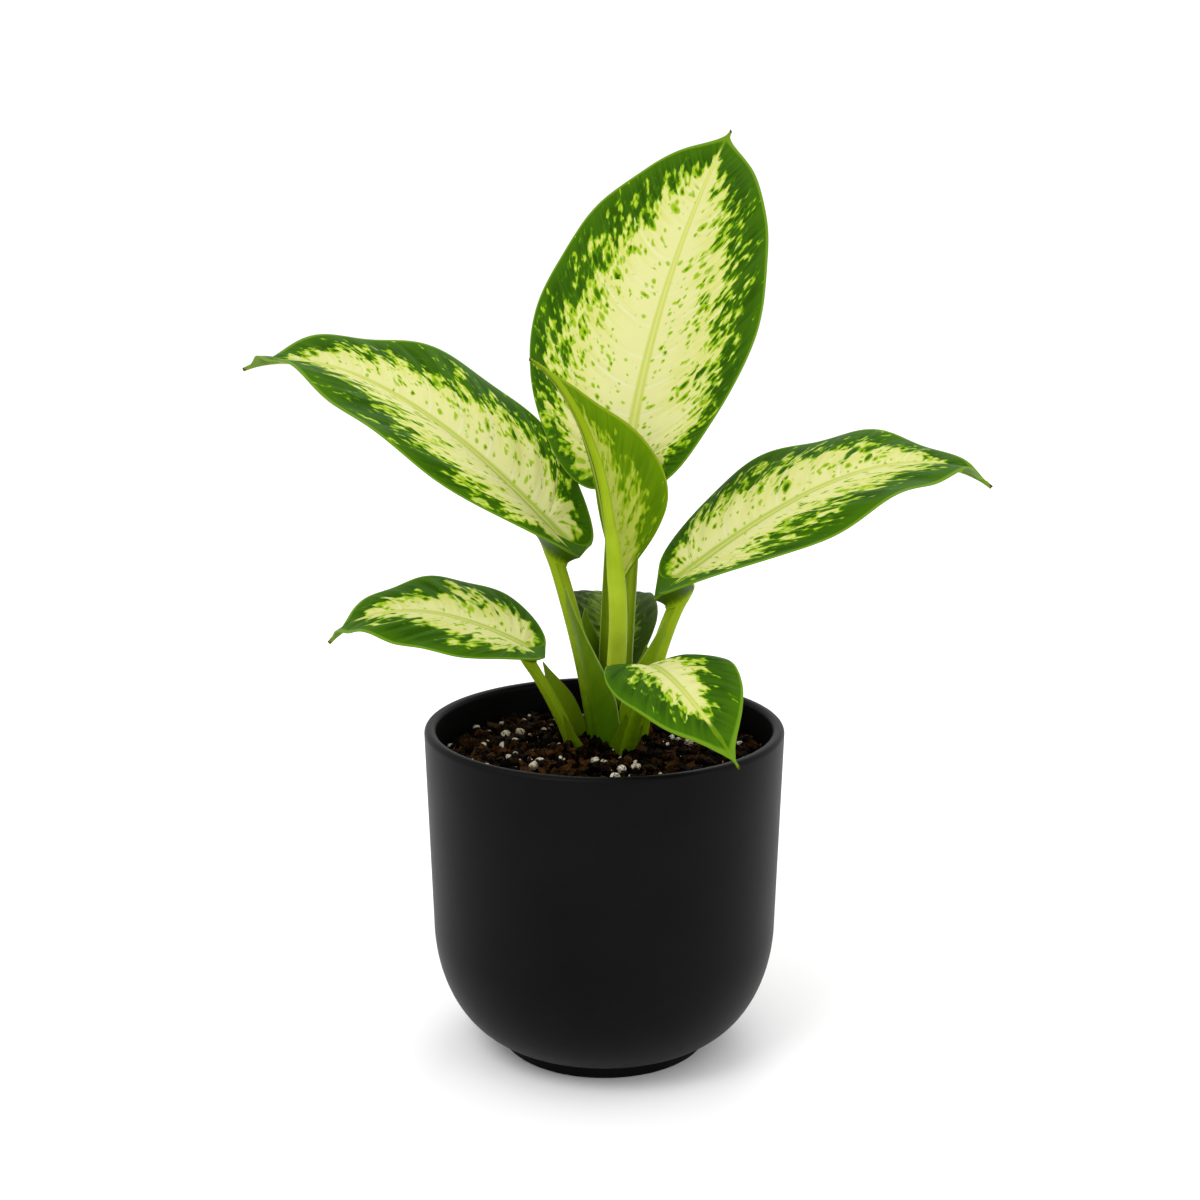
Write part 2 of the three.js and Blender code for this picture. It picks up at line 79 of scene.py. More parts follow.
def add_camera():
    place = (CAMERA_X * MM, -FRONT, CAMERA_Z * MM)
    bpy.ops.object.camera_add(location=place, rotation=(math.pi / 2 - PITCH, 0, 0))
    camera = bpy.context.object
    camera.name = "camera"
    camera.data.sensor_width = SENSOR
    camera.data.lens = FOCAL * SENSOR
    camera.data.clip_start = 0.01
    bpy.context.scene.camera = camera
    return camera


print("camera lens:", round(add_camera().data.lens, 1), "mm")


# %% A material's nodes in short words
class Finish:
    """A new material, with short words for adding nodes to it."""

    def __init__(self, name):
        self.material = bpy.data.materials.new(name)
        self.material.use_nodes = True
        self.tree = self.material.node_tree
        self.shader = self.tree.nodes["Principled BSDF"]

    def feed(self, socket, value):
        """A socket takes either another node's output or a plain value."""
        if isinstance(value, bpy.types.NodeSocket):
            self.tree.links.new(value, socket)
        else:
            socket.default_value = value

    def add(self, kind, inputs=None, **settings):
        node = self.tree.nodes.new("ShaderNode" + kind)
        for name, value in settings.items():
            setattr(node, name, value)
        for socket, value in (inputs or {}).items():
            self.feed(node.inputs[socket], value)
        return node

    def math(self, operation, *values):
        node = self.add("Math", operation=operation)
        for socket, value in zip(node.inputs, values):
            self.feed(socket, value)
        return node.outputs[0]

    def times(self, a, b):
        return self.math("MULTIPLY", a, b)

    def times_add(self, a, b, c):
        return self.math("MULTIPLY_ADD", a, b, c)

    def less(self, a, b):
        return self.math("SUBTRACT", a, b)

    def least(self, a, b):
        return self.math("MINIMUM", a, b)

    def most(self, a, b):
        return self.math("MAXIMUM", a, b)

    def step(self, value, low, high):
        """0 below low and 1 above high, with a soft change between."""
        sockets = {"Value": value, "From Min": low, "From Max": high}
        return self.add("MapRange", sockets, interpolation_type="SMOOTHSTEP", clamp=True).outputs[0]

    def between(self, value, low, high):
        """Low where the value is 0 and high where it is 1."""
        return self.add("MapRange", {"Value": value, "To Min": low, "To Max": high}).outputs[0]

    def blend(self, factor, under, over):
        node = self.add("Mix", data_type="RGBA")
        for index, value in ((0, factor), (6, under), (7, over)):
            self.feed(node.inputs[index], value)
        return node.outputs[2]

    def ramp(self, factor, stops):
        """A colour for each place from 0 to 1, with straight changes between them."""
        node = self.add("ValToRGB", {"Fac": factor})
        elements = node.color_ramp.elements
        while len(elements) < len(stops):
            elements.new(0.5)
        for element, (place, colour) in zip(elements, stops):
            element.position = place
            element.color = colour
        return node.outputs[0]

    def place(self):
        return self.add("TexCoord").outputs["Object"]

    def map(self, name):
        """Where a point is on the named map, across and up."""
        return self.add("SeparateXYZ", {"Vector": self.add("UVMap", uv_map=name).outputs[0]}).outputs[:2]

    def attribute(self, name):
        return self.add("Attribute", attribute_name=name, attribute_type="GEOMETRY").outputs["Fac"]

    def vector(self, x, y, z=0.0):
        return self.add("CombineXYZ", {"X": x, "Y": y, "Z": z}).outputs[0]

    def noise(self, vector, scale=1.0, detail=2.0, roughness=0.5):
        sockets = {"Vector": vector, "Scale": scale, "Detail": detail, "Roughness": roughness}
        return self.add("TexNoise", sockets).outputs[0]

    def cells(self, vector, scale=1.0):
        """Distance to the nearest of many scattered points, and a random number for that point."""
        node = self.add("TexVoronoi", {"Vector": vector, "Scale": scale})
        parts = self.add("SeparateColor", {"Color": node.outputs["Color"]})
        return node.outputs["Distance"], parts.outputs[0]

    def bump(self, height, distance, strength=1.0):
        sockets = {"Height": height, "Distance": distance, "Strength": strength}
        self.feed(self.shader.inputs["Normal"], self.add("Bump", sockets).outputs[0])

    def surface(self, colours, roughness, specular):
        sockets = {"Base Color": colours, "Roughness": roughness, "Specular IOR Level": specular}
        for name, value in sockets.items():
            self.feed(self.shader.inputs[name], value)


def colour(red, green, blue):
    """A colour as a screen shows it, 0 to 255, turned into the light that a shader works in."""
    light = [v / 255 / 12.92 if v < 10.3 else ((v / 255 + 0.055) / 1.055) ** 2.4 for v in (red, green, blue)]
    return (*light, 1.0)


# %% Floor
def floor_finish():
    f = Finish("floor_paper")
    place = f.place()
    grain = [(0.3, colour(252, 252, 252)), (0.7, colour(254, 254, 254))]
    f.surface(f.ramp(f.noise(place, 3.0), grain), 0.9, 0.1)
    return f.material


bpy.ops.object.select_all(action="DESELECT")
bpy.ops.mesh.primitive_plane_add(size=8)
floor = bpy.context.object
floor.name = "floor"
floor.data.materials.append(floor_finish())
print("floor:", tuple(round(v, 2) for v in floor.dimensions))


# %% Lights
SKY_STRENGTH = 1.12
AIM = Vector((0, 0, 0.15))  # the plant's middle
LAMPS = {  # place and size in metres, and power in watts
    "key_lamp": ((-0.7, -0.9, 1.5), 0.7, 9),
    "side_lamp": ((1.2, -0.7, 0.5), 0.5, 2.5),
    "back_lamp": ((0.3, 1.2, 1.3), 0.8, 5),
}


def add_light(name, place, size, power):
    """A square lamp that looks at the plant's middle."""
    bpy.ops.object.light_add(type="AREA", location=place)
    lamp = bpy.context.object
    lamp.name = name
    lamp.data.size = size
    lamp.data.energy = power
    lamp.rotation_euler = (AIM - Vector(place)).to_track_quat("-Z", "Y").to_euler()


def light_scene():
    scene = bpy.context.scene
    scene.view_settings.view_transform = "Standard"
    scene.world = scene.world or bpy.data.worlds.new("studio")
    scene.world.use_nodes = True
    sky = scene.world.node_tree.nodes["Background"]
    sky.inputs["Color"].default_value = (1, 1, 1, 1)
    sky.inputs["Strength"].default_value = SKY_STRENGTH
    for name, lamp in LAMPS.items():
        add_light(name, *lamp)


light_scene()

# %% [markdown]
# ## Making a piece
# The next helpers keep the steps short: one starts with nothing selected, one closes a piece off and ties
# it to the frame, and one builds a body ring by ring, as by hand, by extruding the edge of a circle and
# putting each new ring of points in its place.


# %% Helpers for pieces
def mix(a, b, t):
    return a + (b - a) * t


def smooth(value, low, high):
    """0 at low and 1 at high, with a soft change between; low may be the larger."""
    t = min(1, max(0, (value - low) / (high - low)))
    return t * t * (3 - 2 * t)


def start_clean():
    if bpy.context.mode != "OBJECT":
        bpy.ops.object.mode_set(mode="OBJECT")
    bpy.ops.object.select_all(action="DESELECT")


SEAM = 1e-6  # points nearer than this, in metres, become one


def close_seams():
    bpy.ops.object.mode_set(mode="EDIT")
    bpy.ops.mesh.select_all(action="SELECT")
    bpy.ops.mesh.remove_doubles(threshold=SEAM)
    bpy.ops.mesh.normals_make_consistent(inside=False)
    bpy.ops.object.mode_set(mode="OBJECT")


def thicken(piece, thickness, offset):
    """Gives a sheet its thickness: about its middle with offset 0, and behind its faces with -1."""
    modifier = piece.modifiers.new("thickness", "SOLIDIFY")
    modifier.thickness = thickness * MM
    modifier.offset = offset
    modifier.use_even_offset = False
    bpy.ops.object.modifier_apply(modifier=modifier.name)


def place_piece(piece, name, material_slot, *nodes):
    """Names a finished piece, ties it to the frame and puts it in the nodes' place."""
    piece.name = name
    piece.data.name = name
    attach(piece, "root")
    if nodes:
        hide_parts(*nodes)
    print(name, len(piece.data.vertices), "vertices")


def grow_rings(rings):
    """A body through rings of equally many points: a circle that is extruded once for each ring."""
    start_clean()
    count = len(rings[0])
    bpy.ops.mesh.primitive_circle_add(vertices=count, radius=0.01, enter_editmode=True)
    piece = bpy.context.object
    for number, ring in enumerate(rings):
        if number == 0:
            bpy.ops.mesh.edge_face_add()
        else:
            bpy.ops.mesh.extrude_region_move()
        edit = bmesh.from_edit_mesh(piece.data)
        for vertex, place in zip([v for v in edit.verts if v.select], ring):
            vertex.co = place
        bmesh.update_edit_mesh(piece.data)
    bpy.ops.mesh.edge_face_add()
    bpy.ops.object.mode_set(mode="OBJECT")
    return piece


def named_map(piece, name):
    """The piece's own map, by this name."""
    if not piece.data.uv_layers:
        piece.data.uv_layers.new(name=name)
    piece.data.uv_layers[0].name = name
    return piece.data.uv_layers[0]


# %% [markdown]
# ## Pot
# The real pot is one turned shape: a straight, barely flaring wall that rounds down to a small foot, with
# a soft lip and a plain inside. It could be spun from a profile. Here a circle is extruded upwards and
# sized at each step, as on a wheel, because each ring's radius and height can then be read in the list.

# %% The pot's profile
POT = dict(height=116, rim=62.5, waist=60.4, corner_width=26.5, corner_height=41, foot=37, foot_height=4.6,
           foot_fillet=1.2, wall=4.1, lip=1.9, floor=9)
CORNER_X = POT["waist"] - POT["corner_width"]
CORNER_Z = POT["foot_height"] + POT["corner_height"]
INNER_WAIST = POT["waist"] - POT["wall"]
INNER_RIM = POT["rim"] - POT["wall"]
LIP_Z = POT["height"] - POT["lip"]


def arc(x, z, rx, rz, start, end, steps):
    """Points along a stretch of an ellipse, as (radius, height)."""
    angles = [math.radians(start + (end - start) * i / steps) for i in range(steps + 1)]
    return [(x + rx * math.cos(a), z + rz * math.sin(a)) for a in angles]


INNER_CORNER = arc(CORNER_X, CORNER_Z, INNER_WAIST - CORNER_X, CORNER_Z - POT["floor"], 0, -90, 14)


def pot_profile():
    foot, fillet, lip = POT["foot"], POT["foot_fillet"], POT["lip"]
    return [
        (foot - 4.2, 0.7), (foot - 3.6, 0.15), (foot - 3, 0),
        *arc(foot - fillet, fillet, fillet, fillet, -90, 0, 5),
        (foot, POT["foot_height"] * 0.8), (foot + 0.25, POT["foot_height"] + 0.1),
        *arc(CORNER_X, CORNER_Z, POT["corner_width"], POT["corner_height"], -82, 0, 26),
        *[(mix(POT["waist"], POT["rim"], t), mix(CORNER_Z, LIP_Z, t)) for t in (0.25, 0.5, 0.75)],
        *arc(POT["rim"] - lip, LIP_Z, lip, lip, 0, 90, 7),
        *arc(INNER_RIM + lip, LIP_Z, lip, lip, 90, 180, 7),
        *[(mix(INNER_RIM, INNER_WAIST, t), mix(LIP_Z, CORNER_Z, t)) for t in (0.1, 0.4, 0.7)],
        *INNER_CORNER[:-1],
    ]


# %% Throw the pot
POT_SIDES = 144


def throw_pot():
    profile = pot_profile()
    start_clean()
    radius, height = profile[0]
    bpy.ops.mesh.primitive_circle_add(
        vertices=POT_SIDES, radius=radius * MM, fill_type="NGON",
        location=(0, 0, height * MM), enter_editmode=True,
    )
    for (r0, z0), (r1, z1) in zip(profile, profile[1:]):
        bpy.ops.mesh.extrude_region_move(TRANSFORM_OT_translate={"value": (0, 0, (z1 - z0) * MM)})
        bpy.ops.transform.resize(value=(r1 / r0, r1 / r0, 1))
    bpy.ops.object.mode_set(mode="OBJECT")
    pot = bpy.context.object
    bpy.ops.object.transform_apply(location=True, rotation=True, scale=True)
    close_seams()
    bpy.ops.object.shade_smooth_by_angle(angle=math.radians(40))
    return pot


# %% [markdown]
# ### Matte black glaze
# The pot is almost black, with a fine dry tooth that spreads every reflection into a soft glow, brighter
# where the wall turns away from the eye. The colour barely changes; fine noise in the bump and the
# roughness does the work.


# %% Pot finish
def pot_finish():
    f = Finish("matte_black_glaze")
    place = f.place()
    cloud = f.noise(place, 45.0, 3.0)
    colours = f.ramp(cloud, [(0.3, colour(5, 5, 5)), (0.75, colour(9, 9, 9))])
    f.surface(colours, f.between(cloud, 0.4, 0.47), 0.06)
    f.bump(f.noise(place, 1400.0, 2.0), 0.00004, 0.5)
    return f.material


pot = throw_pot()
pot.data.materials.append(pot_finish())
place_piece(pot, "glazed_pot", "pot", "pot")

# %% [markdown]
# ## The leaves' measures
# Each leaf is one set of measures, in millimetres and degrees. They start from the frame's own; some lobes
# and sheaths, and most of the young leaf, were then changed to come closer to the real plant.
# - The midrib starts at base, leaves along heading and lift, bends down by droop, the more of it towards the
#   tip the larger late is, swings aside by sway and turns by roll and twist.
# - The blade folds up from it by fold and curls back down by curl, and skew folds one half more than the
#   other. It is widest at belly, fuller at its base the smaller blunt is, and drawn out over tail to a tip.
# - Notch and lobe shape its base, cup folds that base up further, half narrows a half, ripple is the wave of
#   its margin, and ridge the low ridge over its midrib. The first number of lobe, cup and half is for the
#   right half and the second for the left.
# - The stalk rises from root, straight up over rise, and arrives over reach, steeper than the midrib by
#   knee. It is thick at the foot and thin at the top, and flare widens it just under the blade. Seat and aside
#   shift its end from the midrib.
# - A sheath's wings are as wide as wing. They open below the shares left and right of the stalk's length,
#   over spread, curl in by pitch, and end in a loose tip, as long as free and as narrow as tip.

# %% Leaf and stalk measures
CLUMP = (3, 10)  # the clump's middle on the mix
CANE_TOP = 92.35
USUAL = dict(half=(1, 1), seat=1, aside=0, pitch=0.17, flare=0.16, cup=(0, 0), tip=0.3, ridge=0.2)
OWN = {
    "tall": dict(
        base=(6.8, 15.5, 193.6), heading=77, lift=60.6, length=147.7, width=89.6, droop=6, late=1.1,
        sway=-18, roll=-10.3, twist=-3.8, fold=14, curl=1, skew=-0.4, belly=0.44, blunt=0.62, tail=0.06,
        notch=6, lobe=(3.5, 3.5), ripple=0.8,
        root=(1, 5), knee=16, rise=34, reach=26, thick=3.9, thin=2.7,
        wing=9, left=0.86, right=0.84, spread=0.1, free=3,
    ),
    "left": dict(
        base=(-10.6, 5, 175.1), heading=165, lift=45, length=163.6, width=67.5, droop=67, late=1.62,
        sway=-10.6, roll=-17.2, twist=-5.4, fold=29.5, curl=40, skew=-0.5, belly=0.39, blunt=0.83, tail=0.06,
        notch=9, lobe=(8.5, 6), cup=(0, 8), ripple=1.4,
        root=(-5, 0), knee=27, rise=30, reach=22, thick=3.4, thin=2.7,
        wing=17, left=0.73, right=0.6, spread=0.5, free=10, pitch=0.115,
    ),
    "right": dict(
        base=(19.3, -1, 162), heading=7, lift=37, length=141, width=61, droop=75, late=1.94,
        sway=6.8, roll=19.4, twist=-0.7, fold=20, curl=31, skew=0.8, belly=0.41, blunt=0.7, tail=0.08,
        notch=9, lobe=(6, 1), cup=(26, 0), ripple=1.4,
        root=(8, -3), knee=22, rise=22, reach=20, thick=3.3, thin=2.7,
        wing=13, left=0.55, right=0.73, spread=0.4, free=9, tip=0.35,
    ),
    "lower_left": dict(
        base=(-22, -3.3, 141.2), heading=176, lift=28, length=84, width=49.6, droop=78, late=1.66,
        sway=-1.7, roll=-14.8, twist=-3.5, fold=18, curl=33, skew=-2.4, belly=0.39, blunt=0.75, tail=0.09,
        notch=5, lobe=(3, 4), cup=(0, 8), ripple=0.8,
        root=(-11.5, -3), knee=27, rise=14, reach=14, thick=2.8, thin=1.8,
        wing=9, left=0.4, right=0.7, spread=0.35, free=9, tip=0.5,
    ),
    "front": dict(
        base=(13.5, -16.7, 140.3), heading=-75, lift=23, length=68.3, width=42.3, droop=70, late=0.75,
        sway=11, roll=6, twist=13, fold=16.6, curl=26, skew=-2.4, belly=0.37, blunt=0.62, tail=0.12,
        notch=4, lobe=(5.2, 5.2), ripple=0.4,
        root=(3, -12), knee=35, rise=14, reach=12, thick=2.8, thin=1.8,
        wing=7, left=0.45, right=0.55, spread=0.4, free=4,
    ),
    "back": dict(
        base=(3.4, 21, 129), heading=93, lift=60, length=72, width=35, droop=120, late=1.2,
        sway=0, roll=0, twist=0, fold=10, curl=25, skew=0, belly=0.42, blunt=0.62, tail=0.07,
        notch=4, lobe=(3, 3), ripple=0.5,
        root=(1, 13), knee=8, rise=7, reach=7, thick=2.8, thin=1.9,
        wing=7, left=0.55, right=0.5, spread=0.3, free=3,
    ),
    "young": dict(
        base=(4.4, -12, 164.7), heading=194, lift=84, length=92, width=57, droop=72, late=2,
        sway=0.5, roll=-62, twist=-6, fold=-79, curl=-54, skew=-51, belly=0.36, blunt=0.93, tail=0.09,
        notch=0, lobe=(0, 0), half=(1, 0.45), ripple=0.4, ridge=0, seat=-1, aside=2,
        root=(0, 0.5), knee=2, rise=42, reach=20, thick=3.4, thin=2.7, flare=0,
        wing=0, left=0.4, right=0.4, spread=0.3, free=0,
    ),
}
LEAVES = {name: {**USUAL, **own} for name, own in OWN.items()}
print("leaves:", ", ".join(LEAVES))

# %% [markdown]
# ## The midrib's line
# A leaf is built on its midrib, which is walked in short steps. At each step three directions are kept:
# along it, to the leaf's left, and over it. Turning these three a little at every step gives the bend, the
# swing and the twist of a real leaf.

# %% Walk along a midrib
MIDRIB_STEPS = 40


def direction(heading, lift):
    heading, lift = math.radians(heading), math.radians(lift)
    return Vector((math.cos(heading) * math.cos(lift), math.sin(heading) * math.cos(lift), math.sin(lift)))


def midrib(leaf):
    """Stations along the midrib: place, along, left and over, in millimetres."""
    along = direction(leaf["heading"], leaf["lift"])
    left = direction(leaf["heading"] + 90, 0)
    left.rotate(Quaternion(along, math.radians(leaf["roll"])))
    place = Vector(leaf["base"])
    stations = [(place.copy(), along.copy(), left.copy(), along.cross(left))]
    for i in range(MIDRIB_STEPS):
        near, far = i / MIDRIB_STEPS, (i + 1) / MIDRIB_STEPS
        bend = Quaternion(left, math.radians(leaf["droop"]) * (far ** leaf["late"] - near ** leaf["late"]))
        swing = Quaternion(along.cross(left), math.radians(leaf["sway"]) / MIDRIB_STEPS)
        before = along.copy()
        along.rotate(bend)
        along.rotate(swing)
        left.rotate(swing)
        left.rotate(Quaternion(along, math.radians(leaf["twist"]) / MIDRIB_STEPS))
        left = (left - along * left.dot(along)).normalized()
        place = place + (before + along) * (leaf["length"] / MIDRIB_STEPS / 2)
        stations.append((place.copy(), along.copy(), left.copy(), along.cross(left)))
    return stations


def station_at(stations, leaf, x):
    """The station at x millimetres from the base, straight on past either end."""
    t = x / leaf["length"] * MIDRIB_STEPS
    if t < 0:
        place, along, left, over = stations[0]
        return place + along * x, along, left, over
    i = min(int(t), MIDRIB_STEPS - 1)
    return tuple(a.lerp(b, t - i) for a, b in zip(stations[i], stations[i + 1]))


print("tall leaf's tip:", [round(v, 1) for v in midrib(LEAVES["tall"])[-1][0]])

# %% [markdown]
# ## A blade from a grid
# A grid has rows and columns, and so has a leaf: the rows become its lateral veins and the columns lines
# that run from the base to the tip. So each blade starts as a flat grid whose points are then put where
# the leaf's measures say. The grid's own map goes with it, so that later the colours can follow the veins.

# %% The blade's formula
TAIL_POWER = 1.4  # how suddenly the blade narrows to its drawn-out tip
VEIN_START = (1.2, 2.2)  # the veins leave the midrib early, low on the leaf and higher up,
VEIN_SWEEP = (1.1, 1.8)  # and sweep forward
VEIN_CHANGE = 0.3  # where the second values hold
VEIN_MIDDLE = 0.45
CLEFT_WIDTH = 0.012
LOBE_AT, LOBE_WIDE = 0.05, 0.08
QUILTS = 13  # soft waves between the main lateral veins
QUILT_HEIGHT = 0.3
QUILT_FADES = (0.05, 0.35), (1, 0.8)  # they rise beside the midrib and sink before the margin
COLUMN_POWER = 1.5  # columns crowd towards the midrib
CUP_REACH = 14  # how far from its base a blade is cupped round its stalk
RIPPLES = 3.4  # slow waves of the margin


def half_width(leaf, m):
    m = min(1, max(1e-9, m))
    fall = leaf["blunt"] * (1 - leaf["belly"]) / leaf["belly"]
    swell = (m / leaf["belly"]) ** leaf["blunt"] * ((1 - m) / (1 - leaf["belly"])) ** fall
    return leaf["width"] / 2 * swell * (1 - math.exp(-(((1 - m) / leaf["tail"]) ** TAIL_POWER)))


def blade_point(stations, leaf, m, k, side):
    """The point on lateral vein m, from 0 at the base to 1 at the tip, and k of the way out along it.

    With it come its place along and across the midrib, the way over it, and three measures for the
    colours: how far it is out along its vein, where that vein's middle lies, and the leaf's half width.
    """
    start = mix(leaf["notch"], leaf["length"], m ** mix(*VEIN_START, smooth(m, 0, VEIN_CHANGE)))
    cleft = math.exp(-m / CLEFT_WIDTH)
    back = leaf["lobe"][side > 0] * math.exp(-(((m - LOBE_AT) / LOBE_WIDE) ** 2)) * (1 - cleft)
    end = leaf["length"] * m - back + leaf["notch"] * cleft
    x = mix(start, end, k ** mix(*VEIN_SWEEP, min(1, m / VEIN_CHANGE)))
    y = half_width(leaf, m) * k * leaf["half"][side > 0]
    reached = math.hypot(x - start, y)
    middle = mix(start, end, VEIN_MIDDLE)
    place, _, left, over = station_at(stations, leaf, x)
    cup = leaf["cup"][side > 0] * math.exp(-((middle / CUP_REACH) ** 2))
    angle = math.radians(leaf["fold"] + cup + leaf["skew"] * side - leaf["curl"] * y / leaf["width"])
    share = middle / leaf["length"]
    quilt = QUILT_HEIGHT * math.sin(2 * math.pi * QUILTS * share)
    quilt *= smooth(k, *QUILT_FADES[0]) * smooth(k, *QUILT_FADES[1])
    ripple = leaf["ripple"] * math.sin(2 * math.pi * (RIPPLES * share + 0.25 * side)) * k**3
    rise = y * math.sin(angle) + (quilt + ripple) * smooth(m, 0, 0.1) * smooth(m, 1, 0.9)
    place = place + left * (side * y * math.cos(angle)) + over * rise
    return place, x, y, over, (side * reached, middle, half_width(leaf, m))


print("widest:", {name: round(2 * half_width(leaf, leaf["belly"]), 1) for name, leaf in LEAVES.items()})

# %% Blade, keel and rib
BLADE = 0.6  # thickness
BLADE_ROWS, BLADE_COLUMNS = 120, 40
KEEL_DROP = 0.85  # how far the keel's middle hangs under the blade, in radii
KEEL_END = 0.6
KEEL_TAPER = 0.6
RIDGE_WIDE = 0.6  # of the low ridge over the midrib, in keel radii


def keel_radius(leaf, x):
    t = min(1, max(0, (x - leaf["notch"]) / (leaf["length"] - leaf["notch"])))
    return mix(leaf["thin"], KEEL_END, t ** KEEL_TAPER)


def shape_blade(piece, leaf):
    """Puts the grid's points in place, and notes what the keel and the colours need to know of each."""
    stations = midrib(leaf)
    mesh = piece.data
    kinds = {"rib": "FLOAT", "keel": "FLOAT", "over": "FLOAT_VECTOR", "blade": "FLOAT_VECTOR"}
    for name, kind in kinds.items():
        mesh.attributes.new(name, kind, "POINT")
    rib, keel, over_there, blade = (mesh.attributes[name] for name in kinds)
    veins = []
    for vertex in mesh.vertices:
        side = -1 if vertex.co.x > 0 else 1
        k = abs(2 * vertex.co.x) ** COLUMN_POWER
        m = (1 - math.cos(math.pi * (vertex.co.y + 0.5))) / 2
        place, x, y, over, measures = blade_point(stations, leaf, m, k, side)
        radius = keel_radius(leaf, x)
        ridge = leaf["ridge"] * radius * math.exp(-((y / (RIDGE_WIDE * radius)) ** 2))
        ridge *= smooth(x, leaf["notch"] - 1, leaf["notch"] + 6)
        vertex.co = (place + over * ridge) * MM
        rib.data[vertex.index].value = y / radius
        keel.data[vertex.index].value = radius * smooth(x, leaf["notch"] - 0.8 * radius, leaf["notch"] + 0.5)
        over_there.data[vertex.index].vector = over
        blade.data[vertex.index].vector = measures
        veins.append((0.5 - 0.5 * side * k, m))
    for loop, place in zip(mesh.loops, mesh.uv_layers[0].data):
        place.uv = veins[loop.vertex_index]


def hang_keel(piece):
    """Pushes the under side down along the midrib into a round keel."""
    mesh = piece.data
    rib, keel, over = (mesh.attributes[name].data for name in ("rib", "keel", "over"))
    for vertex in list(mesh.vertices)[len(mesh.vertices) // 2 :]:
        away, radius = rib[vertex.index].value, keel[vertex.index].value
        round_part = math.sqrt(max(0, 1 - away * away))
        depth = radius * (KEEL_DROP * smooth(away, 1.8, 0.9) + round_part)
        vertex.co -= Vector(over[vertex.index].vector) * max(0, depth - BLADE / 2) * MM


def face_over(piece):
    """Turns the blade's faces so that they look the way its own over points."""
    mesh = piece.data
    over = mesh.attributes["over"].data
    agreement = sum(face.normal.dot(Vector(over[face.vertices[0]].vector)) for face in mesh.polygons)
    if agreement < 0:
        bpy.ops.object.mode_set(mode="EDIT")
        bpy.ops.mesh.select_all(action="SELECT")
        bpy.ops.mesh.flip_normals()
        bpy.ops.object.mode_set(mode="OBJECT")


def make_blade(leaf):
    start_clean()
    bpy.ops.mesh.primitive_grid_add(x_subdivisions=BLADE_COLUMNS, y_subdivisions=BLADE_ROWS, size=1)
    piece = bpy.context.object
    named_map(piece, "veins")
    shape_blade(piece, leaf)
    close_seams()
    face_over(piece)
    thicken(piece, BLADE, 0)
    return piece


# %% [markdown]
# ### Variegated finish
# A dieffenbachia's leaf is cream along the middle and green round the edge. The change isn't a line: green
# spurs and flecks run in along the veins, cream ones run out, and a thin lime rim lies between the two
# colours. So the pattern is worked out as a distance in millimetres: below nought is cream and above it is
# green, and each colour has its own stretch of that distance. Noise moves the boundary, and scattered cells
# add the flecks. All of it reads the blade's own measures, so the flecks lie along the veins.

# %% Leaf looks
LIT = 1.36  # how bright the light makes a white card; the palette is what the eye should see


def seen(red, green, blue):
    """The colour a surface needs so that it looks like this under the lamps."""
    return (*[v / LIT for v in colour(red, green, blue)[:3]], 1.0)


def palette(**colours):
    return {name: seen(*shade) for name, shade in colours.items()}


GREENS = palette(
    vein=(242, 241, 200), cream=(233, 233, 160), butter=(216, 220, 106), lime=(160, 196, 30),
    mid=(76, 124, 6), green=(64, 106, 10), deep=(44, 82, 4), edge=(112, 152, 30), rib=(150, 184, 50),
)
YOUNG_GREENS = palette(
    vein=(200, 210, 110), cream=(188, 198, 92), butter=(176, 192, 62), lime=(148, 178, 24),
    mid=(110, 148, 6), green=(100, 138, 6), deep=(84, 122, 2), edge=(140, 166, 30), rib=(146, 174, 6),
)
# The back leaf's palette is darker and greyer than GREENS: painted shade for the leaf that hangs behind the
# others, and a painted grey sheen over it.
BACK_SHADE_AND_SHEEN_GREENS = palette(
    vein=(140, 160, 80), cream=(128, 150, 60), butter=(108, 134, 44), lime=(92, 122, 30),
    mid=(72, 98, 26), green=(62, 84, 28), deep=(48, 68, 24), edge=(96, 118, 60), rib=(104, 130, 40),
)
PALETTES = {"back": BACK_SHADE_AND_SHEEN_GREENS, "young": YOUNG_GREENS}  # the others are all GREENS
LOOK = dict(ragged=0.8, clear=0.6, dashes=0.35, dots=0.12, midrib=0.6)  # what each look starts from
# reach is how much of the right and of the left half is cream, end where the cream stops towards the tip,
# ragged how far the boundary strays, clear how free of green the middle is, dashes and dots how thickly the
# flecks are strewn, and midrib how green the midrib is.
LOOKS = {
    "tall": {**LOOK, **dict(reach=(0.72, 0.77), end=0.95, ragged=0.5, clear=0.75, dashes=0.42, midrib=0.25)},
    "left": {**LOOK, **dict(reach=(0.68, 0.74), end=0.93, ragged=0.6, clear=0.7, dashes=0.5, dots=0.14)},
    "right": {**LOOK, **dict(reach=(0.68, 0.68), end=0.93, ragged=0.6, clear=0.7, dashes=0.5, dots=0.14)},
    "lower_left": {**LOOK, **dict(reach=(0.6, 0.6), end=0.88)},
    "front": {**LOOK, **dict(reach=(0.52, 0.56), end=0.8, midrib=0.55)},
    "back": {**LOOK, **dict(reach=(0.45, 0.45), end=0.8, ragged=0.6, dashes=0.4, dots=0.15, midrib=0.7)},
    "young": {**LOOK, **dict(reach=(0.64, 0.5), end=0.9, ragged=0.7, dashes=0.5, dots=0.16, midrib=0.8)},
}
STROKE, DOT, GAP = (7.0, 3.2), (2.6, 2.2), (2.8, 2.4)  # the flecks' cells, in millimetres along and across
TIP_BROWN = seen(112, 66, 26)
UNDER_GREY = seen(122, 148, 70)
PATTERN_STEP = 7.3  # how far apart the leaves' patterns lie in the noise
TIP_FALL = 13  # how suddenly the cream ends towards the tip


# %% Distances on the blade
def stretched(f, place, along, across, shift=0.0):
    """The blade's measures in cells that are this many millimetres long and wide."""
    sockets = {"Vector": place, "Location": (shift, shift, shift), "Scale": (1 / along, 1 / across, 1.0)}
    return f.add("Mapping", sockets).outputs[0]


